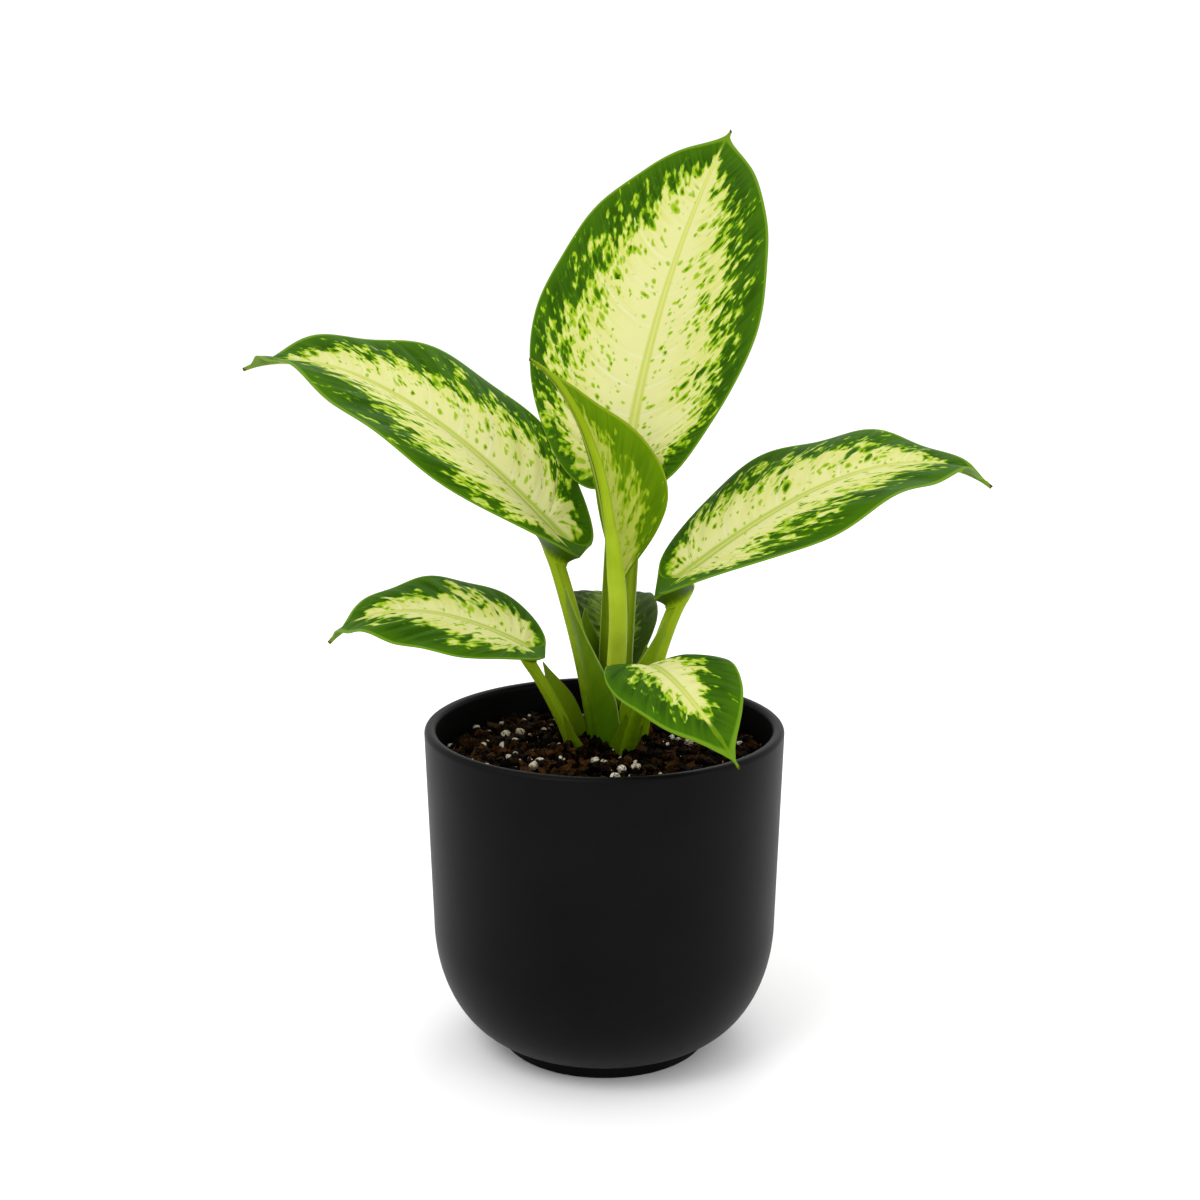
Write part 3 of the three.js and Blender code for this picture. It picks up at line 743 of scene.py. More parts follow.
def flecks(f, place, along, across, shift, amount):
    """Millimetres into the nearest fleck: the amount is how many of the cells hold one, and how full."""
    distance, number = f.cells(stretched(f, place, along, across, shift))
    radius = f.times(f.less(amount, number), 1.2)
    return f.times(f.less(f.least(radius, 0.45), distance), across * 0.7)


def centred(f, place, along, across, shift, detail=2.0):
    """Noise about nought, from about -1 to 1."""
    return f.times_add(f.noise(stretched(f, place, along, across, shift), 1.0, detail, 0.6), 4.0, -2.0)


def wander(f, place, size, amount):
    """Moves the places about a little, so that cells lose their even shapes."""
    sockets = {"Vector": stretched(f, place, size, size, 3.0), "Scale": 1.0, "Detail": 2.0}
    cloud = f.add("TexNoise", sockets).outputs["Color"]
    offset = f.add("VectorMath", {0: cloud, 1: (0.5, 0.5, 0.5)}, operation="SUBTRACT").outputs[0]
    sockets = {0: offset, 1: (amount, amount, 0), 2: place}
    return f.add("VectorMath", sockets, operation="MULTIPLY_ADD").outputs[0]


def leaf_distances(f, leaf, look, seed):
    """Where a point is on its blade, and how many millimetres it is inside the green."""
    blade = f.add("Attribute", attribute_name="blade", attribute_type="GEOMETRY").outputs["Vector"]
    side, vein, half = f.add("SeparateXYZ", {"Vector": blade}).outputs
    across = f.map("veins")[0]
    out = f.math("ABSOLUTE", f.times_add(across, 2.0, -1.0))
    place = wander(f, f.vector(side, vein, seed * PATTERN_STEP), 3.0, 1.2)
    share = f.math("DIVIDE", vein, leaf["length"])
    right, left = look["reach"]
    reach = f.times_add(f.step(side, -2.0, 2.0), left - right, right)
    fall = f.less(1.0, f.math("POWER", f.math("DIVIDE", share, look["end"]), TIP_FALL))
    depth = f.less(out, f.times(reach, fall))
    depth = f.times_add(centred(f, place, 12.0, 14.0, 2.0), look["ragged"] * 0.3, depth)
    cloud = centred(f, place, 4.0, 2.7, 9.0, 1.5)
    outer = f.times_add(depth, 3.5, -0.1)
    inner = f.times_add(depth, 0.9, -look["clear"])
    islands = f.times(f.math("ADD", cloud, f.most(outer, inner)), 1.3)
    near = f.step(depth, -0.5, 0.0)
    strokes = flecks(f, place, *STROKE, 20.0, f.times(f.times_add(near, 0.8, 0.2), look["dashes"]))
    dots = flecks(f, place, *DOT, 40.0, f.times(f.times_add(near, 1.2, 0.8), look["dots"]))
    green = f.most(islands, f.most(strokes, dots))
    gaps = flecks(f, place, *GAP, 60.0, f.times(f.step(depth, 0.22, 0.02), 0.34))
    return blade, out, share, half, f.least(green, f.times(gaps, -1.0)), depth


# %% Leaf finish
def leaf_colour(f, name, seed):
    look, shades = LOOKS[name], PALETTES.get(name, GREENS)
    blade, out, share, half, green, depth = leaf_distances(f, LEAVES[name], look, seed)
    silk = f.noise(stretched(f, blade, 16.0, 2.2, 5.0), 1.0, 3.0, 0.6)
    soft = f.noise(stretched(f, blade, 24.0, 9.0, 80.0), 1.0, 2.0)
    waves = f.math("PINGPONG", f.times(share, QUILTS), 0.5)
    # Next to each lateral vein the cream is pushed towards butter: painted shade on both sides of the vein.
    vein_shade = f.step(waves, 0.28, 0.04)
    tint = f.times_add(silk, 1.1, f.times_add(vein_shade, 0.12, depth))
    cream = f.blend(f.step(tint, -0.05, 0.85), shades["cream"], shades["butter"])
    leafy = f.blend(f.step(f.times_add(silk, 0.3, soft), 0.45, 0.85), shades["deep"], shades["green"])
    rim = f.times(half, f.less(1.0, out))
    leafy = f.blend(f.times(f.step(rim, 4.0, 0.5), 0.5), leafy, shades["mid"])
    colours = f.blend(f.step(green, -0.75, -0.4), cream, shades["lime"])
    colours = f.blend(f.step(green, -0.3, 0.0), colours, shades["mid"])
    colours = f.blend(f.step(green, 0.0, 0.35), colours, leafy)
    inside = f.times(f.step(out, 1.0, 0.7), f.step(share, 0.06, 0.14))
    lines = f.times(f.step(waves, 0.08, 0.0), inside)
    lines = f.times(lines, f.step(centred(f, blade, 20.0, 5.0, 50.0), -0.6, 0.8))
    pale_lines = f.times(lines, f.times(f.step(green, 0.0, -0.5), 0.75))
    colours = f.blend(pale_lines, colours, shades["vein"])
    rib = f.attribute("rib")
    pale = f.times(f.step(depth, 0.3, -0.1), f.step(rib, 1.0, 0.8))
    colours = f.blend(f.times(f.step(rib, 1.35, 1.0), 0.3), colours, shades["lime"])
    core = f.blend(f.times(f.step(share, 1.1, 0.0), look["midrib"]), shades["butter"], shades["rib"])
    core = f.blend(f.times(f.step(rib, 0.5, 0.1), 0.5), core, shades["cream"])
    colours = f.blend(pale, colours, core)
    colours = f.blend(f.step(rim, 0.7, 0.25), colours, shades["edge"])
    colours = f.blend(f.step(share, 0.988, 0.996), colours, TIP_BROWN)
    return colours, silk, lines


def leaf_finish(name, seed, face):
    f = Finish(f"leaf_{name}_{face}")
    colours, silk, lines = leaf_colour(f, name, seed)
    if face == "under":
        colours = f.blend(0.4, colours, UNDER_GREY)
    f.surface(colours, f.between(silk, 0.42, 0.52), 0.02)
    f.bump(f.times_add(lines, -0.5, silk), 0.0002, 0.5)
    return f.material


# %% Grow the leaves
def grow_leaf(name, seed):
    piece = make_blade(LEAVES[name])
    hang_keel(piece)
    for face in ("top", "under"):
        piece.data.materials.append(leaf_finish(name, seed, face))
    half = len(piece.data.vertices) // 2
    for face in piece.data.polygons:
        face.material_index = int(all(v >= half for v in face.vertices))
    bpy.ops.object.shade_smooth_by_angle(angle=math.radians(50))
    place_piece(piece, f"blade_{name}", "young_leaf" if name == "young" else "leaf", f"leaf_{name}")


for leaf_number, leaf_name in enumerate(LEAVES, 1):
    grow_leaf(leaf_name, leaf_number)

# %% [markdown]
# ## Stalks and sheaths
# A stalk is round at the top, and lower down its two sides open into thin wings that clasp the stalks
# inside it: the sheath. A wing ends in a short loose tip. One formula gives both sides of the crescent that
# the section is, and the body is then extruded ring by ring along the stalk's curve.

# %% The stalk's section
WING_ROOT, WING_EDGE = 0.55, 0.22  # half its thickness next to the core and at its edge
WING_STUB = 0.3
TIP_START = 0.07  # how soon below its top a wing has that width
FLARE_AT, FLARE_WIDE = 5, 4  # the stalk widens just under its blade
JOIN = 2.2  # how far its rounded end runs into the keel
STALK_RINGS, END_RINGS = 72, 5
CORE_ARMS = (0.0, 0.2, 0.4, 0.58, 0.74, 0.87, 0.95)
WING_ARMS = (1.02, 1.1, 1.22, 1.36, 1.5, 1.64, 1.78, 1.9, 1.97, 2.0)
ARMS = tuple(reversed(CORE_ARMS + WING_ARMS))  # 1 is the core's edge and 2 the wing's
ROW = [(-1, arm) for arm in ARMS] + [(1, arm) for arm in reversed(ARMS[:-1])]


def bezier(a, b, c, d, t):
    s = 1 - t
    place = a * s**3 + b * (3 * s * s * t) + c * (3 * s * t * t) + d * t**3
    along = ((b - a) * s * s + (c - b) * (2 * s * t) + (d - c) * t * t).normalized()
    return place, along


def stalk_line(leaf, steps=200):
    """Evenly spaced places and directions from the cane up to where the stalk meets the blade."""
    foot = Vector((CLUMP[0] + leaf["root"][0], CLUMP[1] + leaf["root"][1], CANE_TOP))
    place, _, left, over = station_at(midrib(leaf), leaf, leaf["notch"] + JOIN)
    end = place - over * (KEEL_DROP * leaf["thin"] * leaf["seat"]) + left * leaf["aside"]
    arrive = direction(leaf["heading"], leaf["lift"] + leaf["knee"])
    ends = (foot, foot + Vector((0, 0, leaf["rise"])), end - arrive * leaf["reach"], end)
    walk = [bezier(*ends, i / steps) for i in range(steps + 1)]
    lengths = [0.0]
    for (a, _), (b, _) in zip(walk, walk[1:]):
        lengths.append(lengths[-1] + (b - a).length)

    def at(t):
        want = min(1, max(0, t)) * lengths[-1]
        i = next((n for n in range(steps) if lengths[n + 1] >= want), steps - 1)
        part = (want - lengths[i]) / (lengths[i + 1] - lengths[i])
        return walk[i][0].lerp(walk[i + 1][0], part), walk[i][1].lerp(walk[i + 1][1], part).normalized()

    return at, lengths[-1]


def half_thickness(arm, radius):
    if arm < 1:
        return max(radius * math.sqrt(1 - arm * arm), min(WING_ROOT, radius))
    return mix(WING_ROOT, WING_EDGE, smooth(arm, 1, 2)) * math.sqrt(max(0, 1 - smooth(arm, 1.93, 2.02) ** 2))


# %% Points of one ring
def section_point(leaf, at, length, t, side, face, arm):
    """A point of the section at t of the way up: out along one side by arm, on its outer or inner face."""
    left_over = (1 - t) * length
    flare = leaf["flare"] * math.exp(-(((left_over - FLARE_AT) / FLARE_WIDE) ** 2))
    end = math.sqrt(max(0.01, 1 - max(0, 1 - left_over / JOIN) ** 2))
    radius = mix(leaf["thick"], leaf["thin"], t) * (1 + flare) * end
    opening = min(1, max(0, ((leaf["left"] if side > 0 else leaf["right"]) - t) / leaf["spread"]))
    begun = smooth(opening, 0, TIP_START)
    wing = max(0, leaf["wing"] - radius) * begun * mix(leaf["tip"], 1, smooth(opening, 0, 1.15)) + WING_STUB
    distance = arm * radius if arm <= 1 else radius + (arm - 1) * wing
    lead = leaf["free"] * (arm - 1) ** 2 * begun * smooth(t, 0, 0.08) if arm > 1 else 0
    place, along = at(t + lead / length)
    inward = -direction(leaf["heading"], 0)
    facing = (inward - along * inward.dot(along)).normalized()
    sideways = facing.cross(along) * side
    pitch = leaf["pitch"]  # radians for each millimetre
    turn = pitch * distance
    offset = face * half_thickness(arm, radius)
    place = place + sideways * (math.sin(turn) / pitch - offset * math.sin(turn))
    return (place + facing * ((1 - math.cos(turn)) / pitch + offset * math.cos(turn))) * MM


def stalk_ring(leaf, at, length, t):
    outer = [section_point(leaf, at, length, t, side, -1, arm) for side, arm in ROW]
    inner = [section_point(leaf, at, length, t, side, 1, arm) for side, arm in reversed(ROW)]
    return outer + inner


# %% [markdown]
# ### Stalk finish
# The stalks are yellow-green at the top and deeper green at the foot, smooth and a little waxy, with faint
# streaks along them. The wings' edges are pale and thin, and on the lowest sheaths dry and brown.


# %% Stalk finish
DRY_MARGIN, FRESH_MARGIN = seen(112, 78, 34), seen(176, 196, 96)


def stalk_finish(name, seed, top, foot, dry):
    f = Finish(name)
    across, height = f.map("stalk")
    wing = f.attribute("wing")
    streak = f.noise(f.vector(f.times(across, 60.0), f.times(height, 5.0), seed), 1.0, 3.0, 0.6)
    mottle = f.noise(f.vector(f.times(across, 9.0), f.times(height, 16.0), seed + 5.0), 1.0, 3.0)
    colours = f.blend(f.step(f.times_add(mottle, 0.4, height), 0.25, 1.05), foot, top)
    colours = f.blend(f.times(f.step(streak, 0.5, 0.85), 0.3), colours, top)
    colours = f.blend(f.times(f.step(streak, 0.5, 0.15), 0.3), colours, foot)
    colours = f.blend(f.times(f.step(wing, 0.9, 1.6), 0.6), colours, foot)
    margin = f.step(f.times_add(mottle, 0.04, wing), 1.97, 2.03)
    colours = f.blend(f.times(margin, 0.7), colours, DRY_MARGIN if dry else FRESH_MARGIN)
    f.surface(colours, 0.42, 0.06)
    f.bump(streak, 0.0001, 0.4)
    return f.material


STALK_LOOKS = {  # colours at the top and the foot, and whether the sheath's edge has dried
    "tall": (seen(176, 200, 52), seen(116, 148, 6), False),
    "left": (seen(164, 192, 30), seen(64, 106, 0), False),
    "right": (seen(166, 196, 26), seen(98, 134, 0), False),
    "lower_left": (seen(148, 178, 20), seen(104, 134, 8), True),
    "front": (seen(116, 150, 8), seen(76, 106, 0), True),
    "back": (seen(100, 132, 16), seen(56, 86, 0), False),
    "young": (seen(152, 178, 18), seen(182, 206, 54), False),
}


# %% Grow the stalks
def grow_stalk(name, seed):
    leaf = LEAVES[name]
    at, length = stalk_line(leaf)
    last = 1 - JOIN / length
    steps = [last * i / STALK_RINGS for i in range(STALK_RINGS)]
    steps += [last + (1 - last) * math.sin(math.pi / 2 * i / END_RINGS) for i in range(END_RINGS + 1)]
    rings = [stalk_ring(leaf, at, length, t) for t in steps]
    piece = grow_rings(rings)
    count = len(rings[0])
    mesh = piece.data
    named_map(piece, "stalk")
    wing = mesh.attributes.new("wing", "FLOAT", "POINT")
    arms = ROW + ROW[::-1]
    for vertex in mesh.vertices:
        side, arm = arms[vertex.index % count]
        open_here = (leaf["left"] if side > 0 else leaf["right"]) - steps[vertex.index // count]
        wing.data[vertex.index].value = arm if open_here > 0 and leaf["wing"] else 0
    for loop, place in zip(mesh.loops, mesh.uv_layers[0].data):
        place.uv = ((loop.vertex_index % count) / count, steps[loop.vertex_index // count])
    close_seams()
    bpy.ops.object.shade_smooth_by_angle(angle=math.radians(60))
    top, foot, dry = STALK_LOOKS[name]
    mesh.materials.append(stalk_finish(f"stalk_{name}_skin", float(seed), top, foot, dry))
    place_piece(piece, f"sheath_{name}", "stalk", f"stalk_{name}")


for stalk_number, stalk_name in enumerate(LEAVES):
    grow_stalk(stalk_name, stalk_number)

# %% [markdown]
# ## The young leaf's rib
# The half-unrolled leaf shows its back, where the stalk runs on as a thick round rib that thins out towards
# the tip. It is one more body of rings, which starts at the stalk's foot, as a skin round it, and follows
# the midrib, so that no joint shows where the stalk becomes the rib.

# %% Grow the rib
RIB_SIDES, RIB_RINGS, RIB_REACH = 20, 110, 0.97
RIB_SKIN = 0.35  # how far it stands off the stalk inside it
RIB_TIP = 0.12  # its radius at its end
RIB_SETTLE = 26, 30, 45  # how far along it has the keel's radius, stands off by it, and runs on the midrib
RIB_STREAKS = 5  # how much coarser its streaks are than a stalk's


def rib_rings(leaf):
    at, length = stalk_line(leaf)
    stations = midrib(leaf)
    thinned, hung, straight = RIB_SETTLE
    rings, across = [], None
    for i in range(RIB_RINGS + 1):
        x = mix(JOIN - length, leaf["length"] * RIB_REACH, i / RIB_RINGS)
        radius = keel_radius(leaf, x) * smooth(x, leaf["length"], leaf["length"] * 0.8) + RIB_TIP
        radius = mix(leaf["thin"] + RIB_SKIN, radius, smooth(x, JOIN, thinned))
        if x < JOIN:
            place, along = at(1 + (x - JOIN) / length)
            radius = mix(leaf["thick"], leaf["thin"], 1 + (x - JOIN) / length) + RIB_SKIN
        else:
            place, along, left, over = station_at(stations, leaf, x)
            place = place + over * (KEEL_DROP * mix(leaf["thin"], radius, smooth(x, JOIN, hung)))
            place = place + left * (leaf["aside"] * smooth(x, straight, JOIN))
        across = along.orthogonal() if across is None else across - along * across.dot(along)
        across.normalize()
        turns = [2 * math.pi * n / RIB_SIDES for n in range(RIB_SIDES)]
        ways = [across * math.cos(a) + along.cross(across) * math.sin(a) for a in turns]
        rings.append([(place + way * radius) * MM for way in ways])
    return rings


def grow_rib(name):
    rib = grow_rings(rib_rings(LEAVES[name]))
    for loop, place in zip(rib.data.loops, named_map(rib, "stalk").data):
        turn, ring = loop.vertex_index % RIB_SIDES, loop.vertex_index // RIB_SIDES
        place.uv = (turn / RIB_SIDES / RIB_STREAKS, ring / RIB_RINGS)
    rib.data.attributes.new("wing", "FLOAT", "POINT")
    close_seams()
    bpy.ops.object.shade_smooth_by_angle(angle=math.radians(60))
    skin = stalk_finish(f"rib_{name}_skin", 9.0, seen(138, 166, 4), seen(204, 226, 62), False)
    rib.data.materials.append(skin)
    place_piece(rib, f"rib_{name}", "young_leaf", f"leaf_{name}")


grow_rib("young")

# %% [markdown]
# ## Cane
# Under the mix the stalks sit on a short piece of cane, ringed where older leaves have come off. The frame's
# own shape is right, so it only gets a skin.


# %% Cane finish
def cane_finish():
    f = Finish("cane_bark")
    place = f.place()
    height = f.add("SeparateXYZ", {"Vector": place}).outputs[2]
    grain = f.noise(place, 300.0, 3.0)
    rings = f.math("PINGPONG", f.times_add(grain, 0.3, f.times(height, 220.0)), 0.5)
    green = f.ramp(grain, [(0.3, seen(98, 112, 52)), (0.7, seen(128, 138, 72))])
    f.surface(f.blend(f.step(rings, 0.12, 0.02), green, seen(92, 74, 44)), 0.6, 0.5)
    f.bump(f.least(rings, 0.15), 0.0008, 0.6)
    return f.material


cane = next(piece for piece in bpy.data.objects if piece.name.startswith("cane"))
for material_slot in cane.material_slots:
    material_slot.material = cane_finish()
print("cane slots:", len(cane.material_slots))

# %% [markdown]
# ## Hoods
# On the side leaves the two lobes of the blade meet in a pointed hood round the top of the stalk. The
# blade's grid leaves a cleft there, because its rows fan out from the midrib. One more sheet runs up from
# the stalk: its lower edge follows the stalk's skin, and its upper edge follows the near lobe's margin to
# the hood's tip and the far lobe's margin back, so that it meets both wherever they run. A second sheet, the
# floor, spans the cleft between the lobes.

# %% Hood shape
HOODS = {  # which side of the leaf is nearer to the eye, and where the hood's tip is
    "left": (1, Vector((-8.5, 0, 174.8))),
    "right": (-1, Vector((17, -6, 161.3))),
    "lower_left": (1, Vector((-20.3, -7, 141.3))),
}
HOOD_VEINS = (0.1, 0.075, 0.058, 0.046, 0.038)  # where its upper edge follows the lobes
HOOD_DROP = (0.55, 1.4)  # how far below the blade it leaves the stalk, outside and inside, in notches
HOOD_TURN = 165  # how far round the stalk it reaches, in degrees from the inner side
HOOD_BEND = 0.2  # how long it keeps to the stalk before it leans out to its edge
HOOD_ROWS, HOOD_COLUMNS = 14, 40
HOOD_THICK = 0.5
HOOD_RIM = 0.99  # how far out along the veins it meets the blade


def hood_edge(leaf, stations, side, hook):
    near = [blade_point(stations, leaf, m, HOOD_RIM, side)[0] for m in HOOD_VEINS]
    far = [blade_point(stations, leaf, m, HOOD_RIM, -side)[0] for m in reversed(HOOD_VEINS)]
    return near + [hook] + far


def hood_point(leaf, at, length, edge, side, across, up):
    part = across * (len(edge) - 1)
    i = min(int(part), len(edge) - 2)
    high = edge[i].lerp(edge[i + 1], part - i)
    inner = math.sin(math.pi * across) ** 1.5
    drop = mix(*HOOD_DROP, inner) * leaf["notch"]
    place, along = at(1 - drop / length)
    inward = -direction(leaf["heading"], 0)
    facing = (inward - along * inward.dot(along)).normalized()
    sideways = facing.cross(along) * side
    turn = math.radians(HOOD_TURN * (1 - 2 * across))
    radius = mix(leaf["thick"], leaf["thin"], 1 - drop / length) * (1 + leaf["flare"] / 2)
    low = place + (facing * math.cos(turn) + sideways * math.sin(turn)) * radius
    bend = low + along * (HOOD_BEND * (high - low).length)
    return (low * (1 - up) ** 2 + bend * (2 * up * (1 - up)) + high * up * up) * MM


def hood_floor_point(leaf, stations, side, hook, across, up):
    """The sheet between the two edges of the cleft, from where it starts to the hood's tip."""
    m = max(0.0005, HOOD_VEINS[-1] * up**2)
    near, far = (blade_point(stations, leaf, m, HOOD_RIM if up == 1 else 1, s)[0] for s in (side, -side))
    middle = near.lerp(far, 0.5)
    pull = (hook - middle) * up**3
    return (near.lerp(far, across) + pull * (1 - abs(2 * across - 1))) * MM


def hood_finish(name, low, high):
    f = Finish(name)
    across, up = f.map("hood")
    streak = f.noise(f.vector(f.times(across, 24.0), f.times(up, 2.0)), 1.0, 3.0)
    colours = f.blend(f.step(f.times_add(streak, 0.5, up), 0.25, 0.95), low, high)
    colours = f.blend(f.step(up, 0.95, 0.99), colours, GREENS["edge"])
    f.surface(colours, 0.45, 0.02)
    f.bump(streak, 0.0001, 0.4)
    return f.material


# %% Grow the hoods
def grow_sheet(name, leaf_name, shape, material):
    start_clean()
    bpy.ops.mesh.primitive_grid_add(x_subdivisions=HOOD_COLUMNS, y_subdivisions=HOOD_ROWS, size=1)
    sheet = bpy.context.object
    named_map(sheet, "hood")
    for vertex in sheet.data.vertices:
        vertex.co = shape(vertex.co.x + 0.5, vertex.co.y + 0.5)
    close_seams()
    thicken(sheet, HOOD_THICK, 0)
    bpy.ops.object.shade_smooth_by_angle(angle=math.radians(60))
    sheet.data.materials.append(material)
    place_piece(sheet, name, "leaf", f"leaf_{leaf_name}")


def grow_hood(name, side, hook):
    leaf = LEAVES[name]
    at, length = stalk_line(leaf)
    stations = midrib(leaf)
    edge = hood_edge(leaf, stations, side, hook)
    outside = hood_finish(f"hood_{name}_skin", STALK_LOOKS[name][0], seen(66, 98, 10))
    inside = hood_finish(f"hood_{name}_inside", GREENS["mid"], GREENS["green"])

    def hood(across, up):
        return hood_point(leaf, at, length, edge, side, across, up)

    def hood_floor(across, up):
        return hood_floor_point(leaf, stations, side, hook, across, up)

    grow_sheet(f"hood_{name}", name, hood, outside)
    grow_sheet(f"hood_floor_{name}", name, hood_floor, inside)


for hood_name, (hood_side, hook) in HOODS.items():
    grow_hood(hood_name, hood_side, hook)

# %% [markdown]
# ## Potting mix
# The mix is peat with bark chips and grains of white perlite. A flat disc with a bumpy finish would
# show no shadows between the lumps, so the mix is built as it is filled in: a rough bed first, and loose
# bits strewn over it. Each kind of bit is modelled a few times and copied many times, turned and sized
# differently. The bed follows the frame's own soil, a low mound with lumps.

# %% The bed's height
SOIL_BELOW_RIM = 12.5
SOIL_Z = POT["height"] - SOIL_BELOW_RIM
SOIL_GAP = 0.35
SOIL_RADIUS = mix(INNER_WAIST, INNER_RIM, (SOIL_Z - CORNER_Z) / (LIP_Z - CORNER_Z)) - SOIL_GAP
MOUND, MOUND_REACH = 4.5, 26
LUMP, LUMP_WIDTH = 1.1, 2.6
ROUGH = 1.4
BED_DEPTH, BED_SQUARES = 6, 150
STALKS_REACH = 17  # no perlite lies nearer than this to the clump's middle


def bed_height(x, y):
    away = math.hypot(x - CLUMP[0], y - CLUMP[1])
    u, v = x / LUMP_WIDTH, y / LUMP_WIDTH
    lumps = math.sin(u + math.sin(0.6 * v)) * math.sin(v + math.sin(0.75 * u))
    rough = noise.noise((x * 0.55, y * 0.55, 1.0)) + 0.6 * noise.noise((x * 1.3, y * 1.3, 5.0))
    return SOIL_Z + MOUND * math.exp(-((away / MOUND_REACH) ** 2)) + LUMP * lumps * 0.6 + ROUGH * rough


def make_bed():
    """A disc of small squares, raised to the bed's height, with a skirt down its side."""
    start_clean()
    bpy.ops.mesh.primitive_grid_add(x_subdivisions=BED_SQUARES, y_subdivisions=BED_SQUARES, size=2)
    bed = bpy.context.object
    for vertex in bed.data.vertices:
        u, v = vertex.co.x, vertex.co.y
        x, y = u * math.sqrt(1 - v * v / 2) * SOIL_RADIUS, v * math.sqrt(1 - u * u / 2) * SOIL_RADIUS
        vertex.co = Vector((x, y, bed_height(x, y))) * MM
    thicken(bed, BED_DEPTH, -1)
    for vertex in list(bed.data.vertices)[len(bed.data.vertices) // 2 :]:
        away = math.hypot(vertex.co.x, vertex.co.y) / MM
        squeeze = min(1, (SOIL_RADIUS - 0.5) / max(away, 1))
        vertex.co = (vertex.co.x * squeeze, vertex.co.y * squeeze, (SOIL_Z - BED_DEPTH) * MM)
    close_seams()
    bpy.ops.object.shade_smooth_by_angle(angle=math.radians(80))
    return bed


# %% Loose bits
def lump_shape(seed, faces, stretch, roughness):
    """A rough lump about 1 across: a ball of few faces, pushed in and out by noise."""
    start_clean()
    bpy.ops.mesh.primitive_ico_sphere_add(subdivisions=faces, radius=0.5)
    lump = bpy.context.object
    for vertex in lump.data.vertices:
        way = vertex.co.normalized()
        push = 1 + roughness * noise.noise(way * 1.6 + Vector((seed * 9.1, 0, 0)))
        push += 0.4 * roughness * noise.noise(way * 4.5 + Vector((seed * 9.1, 7, 0)))
        vertex.co = Vector(a * b for a, b in zip(vertex.co * push, stretch))
    bpy.ops.object.transform_apply()
    return lump


def strew(name, shapes, places, material):
    """One piece from many copies of the shapes. A place is x, y, size, turn, tilt, sink and tone."""
    bits = bmesh.new()
    tones = []
    for number, (x, y, size, turn, tilt, sink, tone) in enumerate(places):
        before = len(bits.verts)
        bits.from_mesh(shapes[number % len(shapes)].data)
        bits.verts.ensure_lookup_table()
        spin = Quaternion((0, 0, 1), turn) @ Quaternion((1, 0, 0), tilt)
        middle = Vector((x, y, bed_height(x, y) + size * (0.5 - sink)))
        for vertex in bits.verts[before:]:
            vertex.co = (middle + spin @ (vertex.co * size)) * MM
            tones.append(tone)
    mesh = bpy.data.meshes.new(name)
    bits.to_mesh(mesh)
    bits.free()
    attribute = mesh.attributes.new("tone", "FLOAT", "POINT")
    attribute.data.foreach_set("value", tones)
    for shape in shapes:
        bpy.data.objects.remove(shape)
    piece = bpy.data.objects.new(name, mesh)
    bpy.context.collection.objects.link(piece)
    start_clean()
    piece.select_set(True)
    bpy.context.view_layer.objects.active = piece
    bpy.ops.object.shade_smooth_by_angle(angle=math.radians(55))
    mesh.materials.append(material)
    place_piece(piece, name, "soil", "soil")


def scatter(count, small, large, sink, seed, gap=0.0, tilt=math.pi):
    """Places over the bed, clear of its edge and, where gap is given, of each other and of the stalks."""
    rolls = random.Random(seed)
    places = []
    while len(places) < count:
        away = (SOIL_RADIUS - large * 0.6) * math.sqrt(rolls.random())
        angle = rolls.uniform(0, 2 * math.pi)
        size = mix(small, large, rolls.random() ** 2)
        x, y = away * math.cos(angle), away * math.sin(angle)
        turn, tip, tone = rolls.uniform(0, 2 * math.pi), rolls.uniform(-tilt, tilt), rolls.random()
        if gap and any(math.hypot(x - p[0], y - p[1]) < (size + p[2]) / 2 + gap for p in places):
            continue
        if gap and math.hypot(x - CLUMP[0], y - CLUMP[1]) < STALKS_REACH:
            continue
        places.append((x, y, size, turn, tip, sink, tone))
    return places
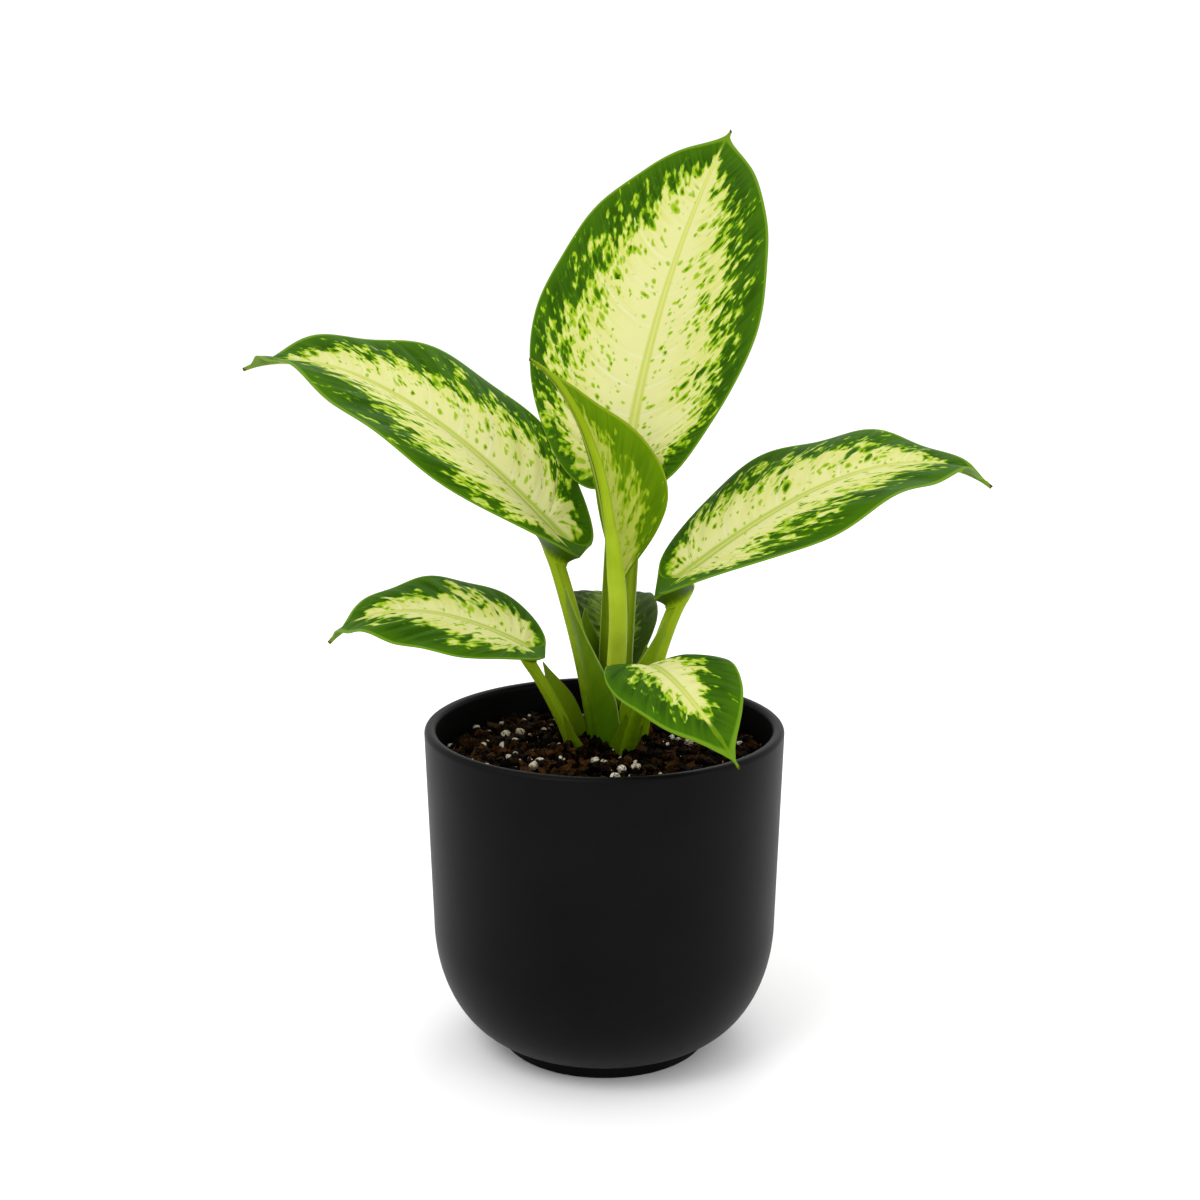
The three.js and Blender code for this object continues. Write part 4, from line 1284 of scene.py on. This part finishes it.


# %% [markdown]
# ### Peat, bark and perlite
# Wet peat is a very dark brown, and bark a little redder and lighter. The bed under the loose bits is painted
# nearly black, as painted shade in the gaps between them. Perlite is chalky and full of small pits that hold
# dark dust, so its cream white is mottled with brown.


# %% Mix finishes
def peat_finish(name, dark, light, bump):
    f = Finish(name)
    place = f.place()
    grain = f.noise(place, 1100.0, 5.0, 0.75)
    cloud = f.noise(place, 220.0, 3.0)
    dapple = f.times_add(grain, 1.0, f.times(cloud, 0.4))
    tone = f.times_add(f.attribute("tone"), 0.3, dapple)
    f.surface(f.blend(f.step(tone, 0.74, 1.36), dark, light), f.between(cloud, 0.65, 0.9), 0.04)
    f.bump(grain, bump, 0.9)
    return f.material


def perlite_finish():
    f = Finish("perlite")
    place = f.place()
    pits = f.cells(place, 1700.0)[0]
    dirt = f.noise(place, 1100.0, 4.0, 0.7)
    chalk = f.blend(f.attribute("tone"), seen(252, 246, 228), seen(224, 208, 178))
    stained = f.blend(f.step(dirt, 0.52, 0.62), chalk, seen(104, 78, 52))
    f.surface(f.blend(f.step(pits, 0.36, 0.16), stained, seen(44, 28, 16)), 0.85, 0.1)
    f.bump(f.least(pits, 0.5), 0.0008, 1.0)
    return f.material


# %% Fill the pot
bed = make_bed()
bed.data.attributes.new("tone", "FLOAT", "POINT")
# The bed shows only in the gaps between the loose bits, so its brown is painted far darker than the crumbs':
# painted shade in those gaps.
bed.data.materials.append(peat_finish("peat_bed_painted_shade", colour(3, 2, 1), colour(30, 19, 8), 0.0015))
place_piece(bed, "mix_bed", "soil", "soil")

crumb_shapes = [lump_shape(n, 1, (1, 0.8, 0.7), 1.3) for n in range(6)]
chip_shapes = [lump_shape(n + 10, 1, (1, 0.6, 0.42), 1.2) for n in range(5)]
perlite_shapes = [lump_shape(n + 20, 2, (1, 0.92, 0.86), 0.35) for n in range(5)]
speck_shapes = [lump_shape(n + 30, 1, (1, 0.9, 0.8), 0.4) for n in range(3)]
peat = peat_finish("peat_crumbs", colour(3, 1, 0), colour(104, 66, 26), 0.0014)
bark = peat_finish("bark_chips", colour(6, 3, 1), colour(104, 70, 30), 0.0012)
white = perlite_finish()
strew("mix_crumbs", crumb_shapes, scatter(2600, 0.8, 4.8, 0.15, 1), peat)
strew("mix_bark", chip_shapes, scatter(200, 2.5, 6.5, 0.05, 2, tilt=1.5), bark)
strew("mix_perlite", perlite_shapes, scatter(130, 1.5, 3.9, -0.05, 3, gap=0.9), white)
strew("mix_specks", speck_shapes, scatter(330, 0.35, 1.0, -0.8, 4), white)
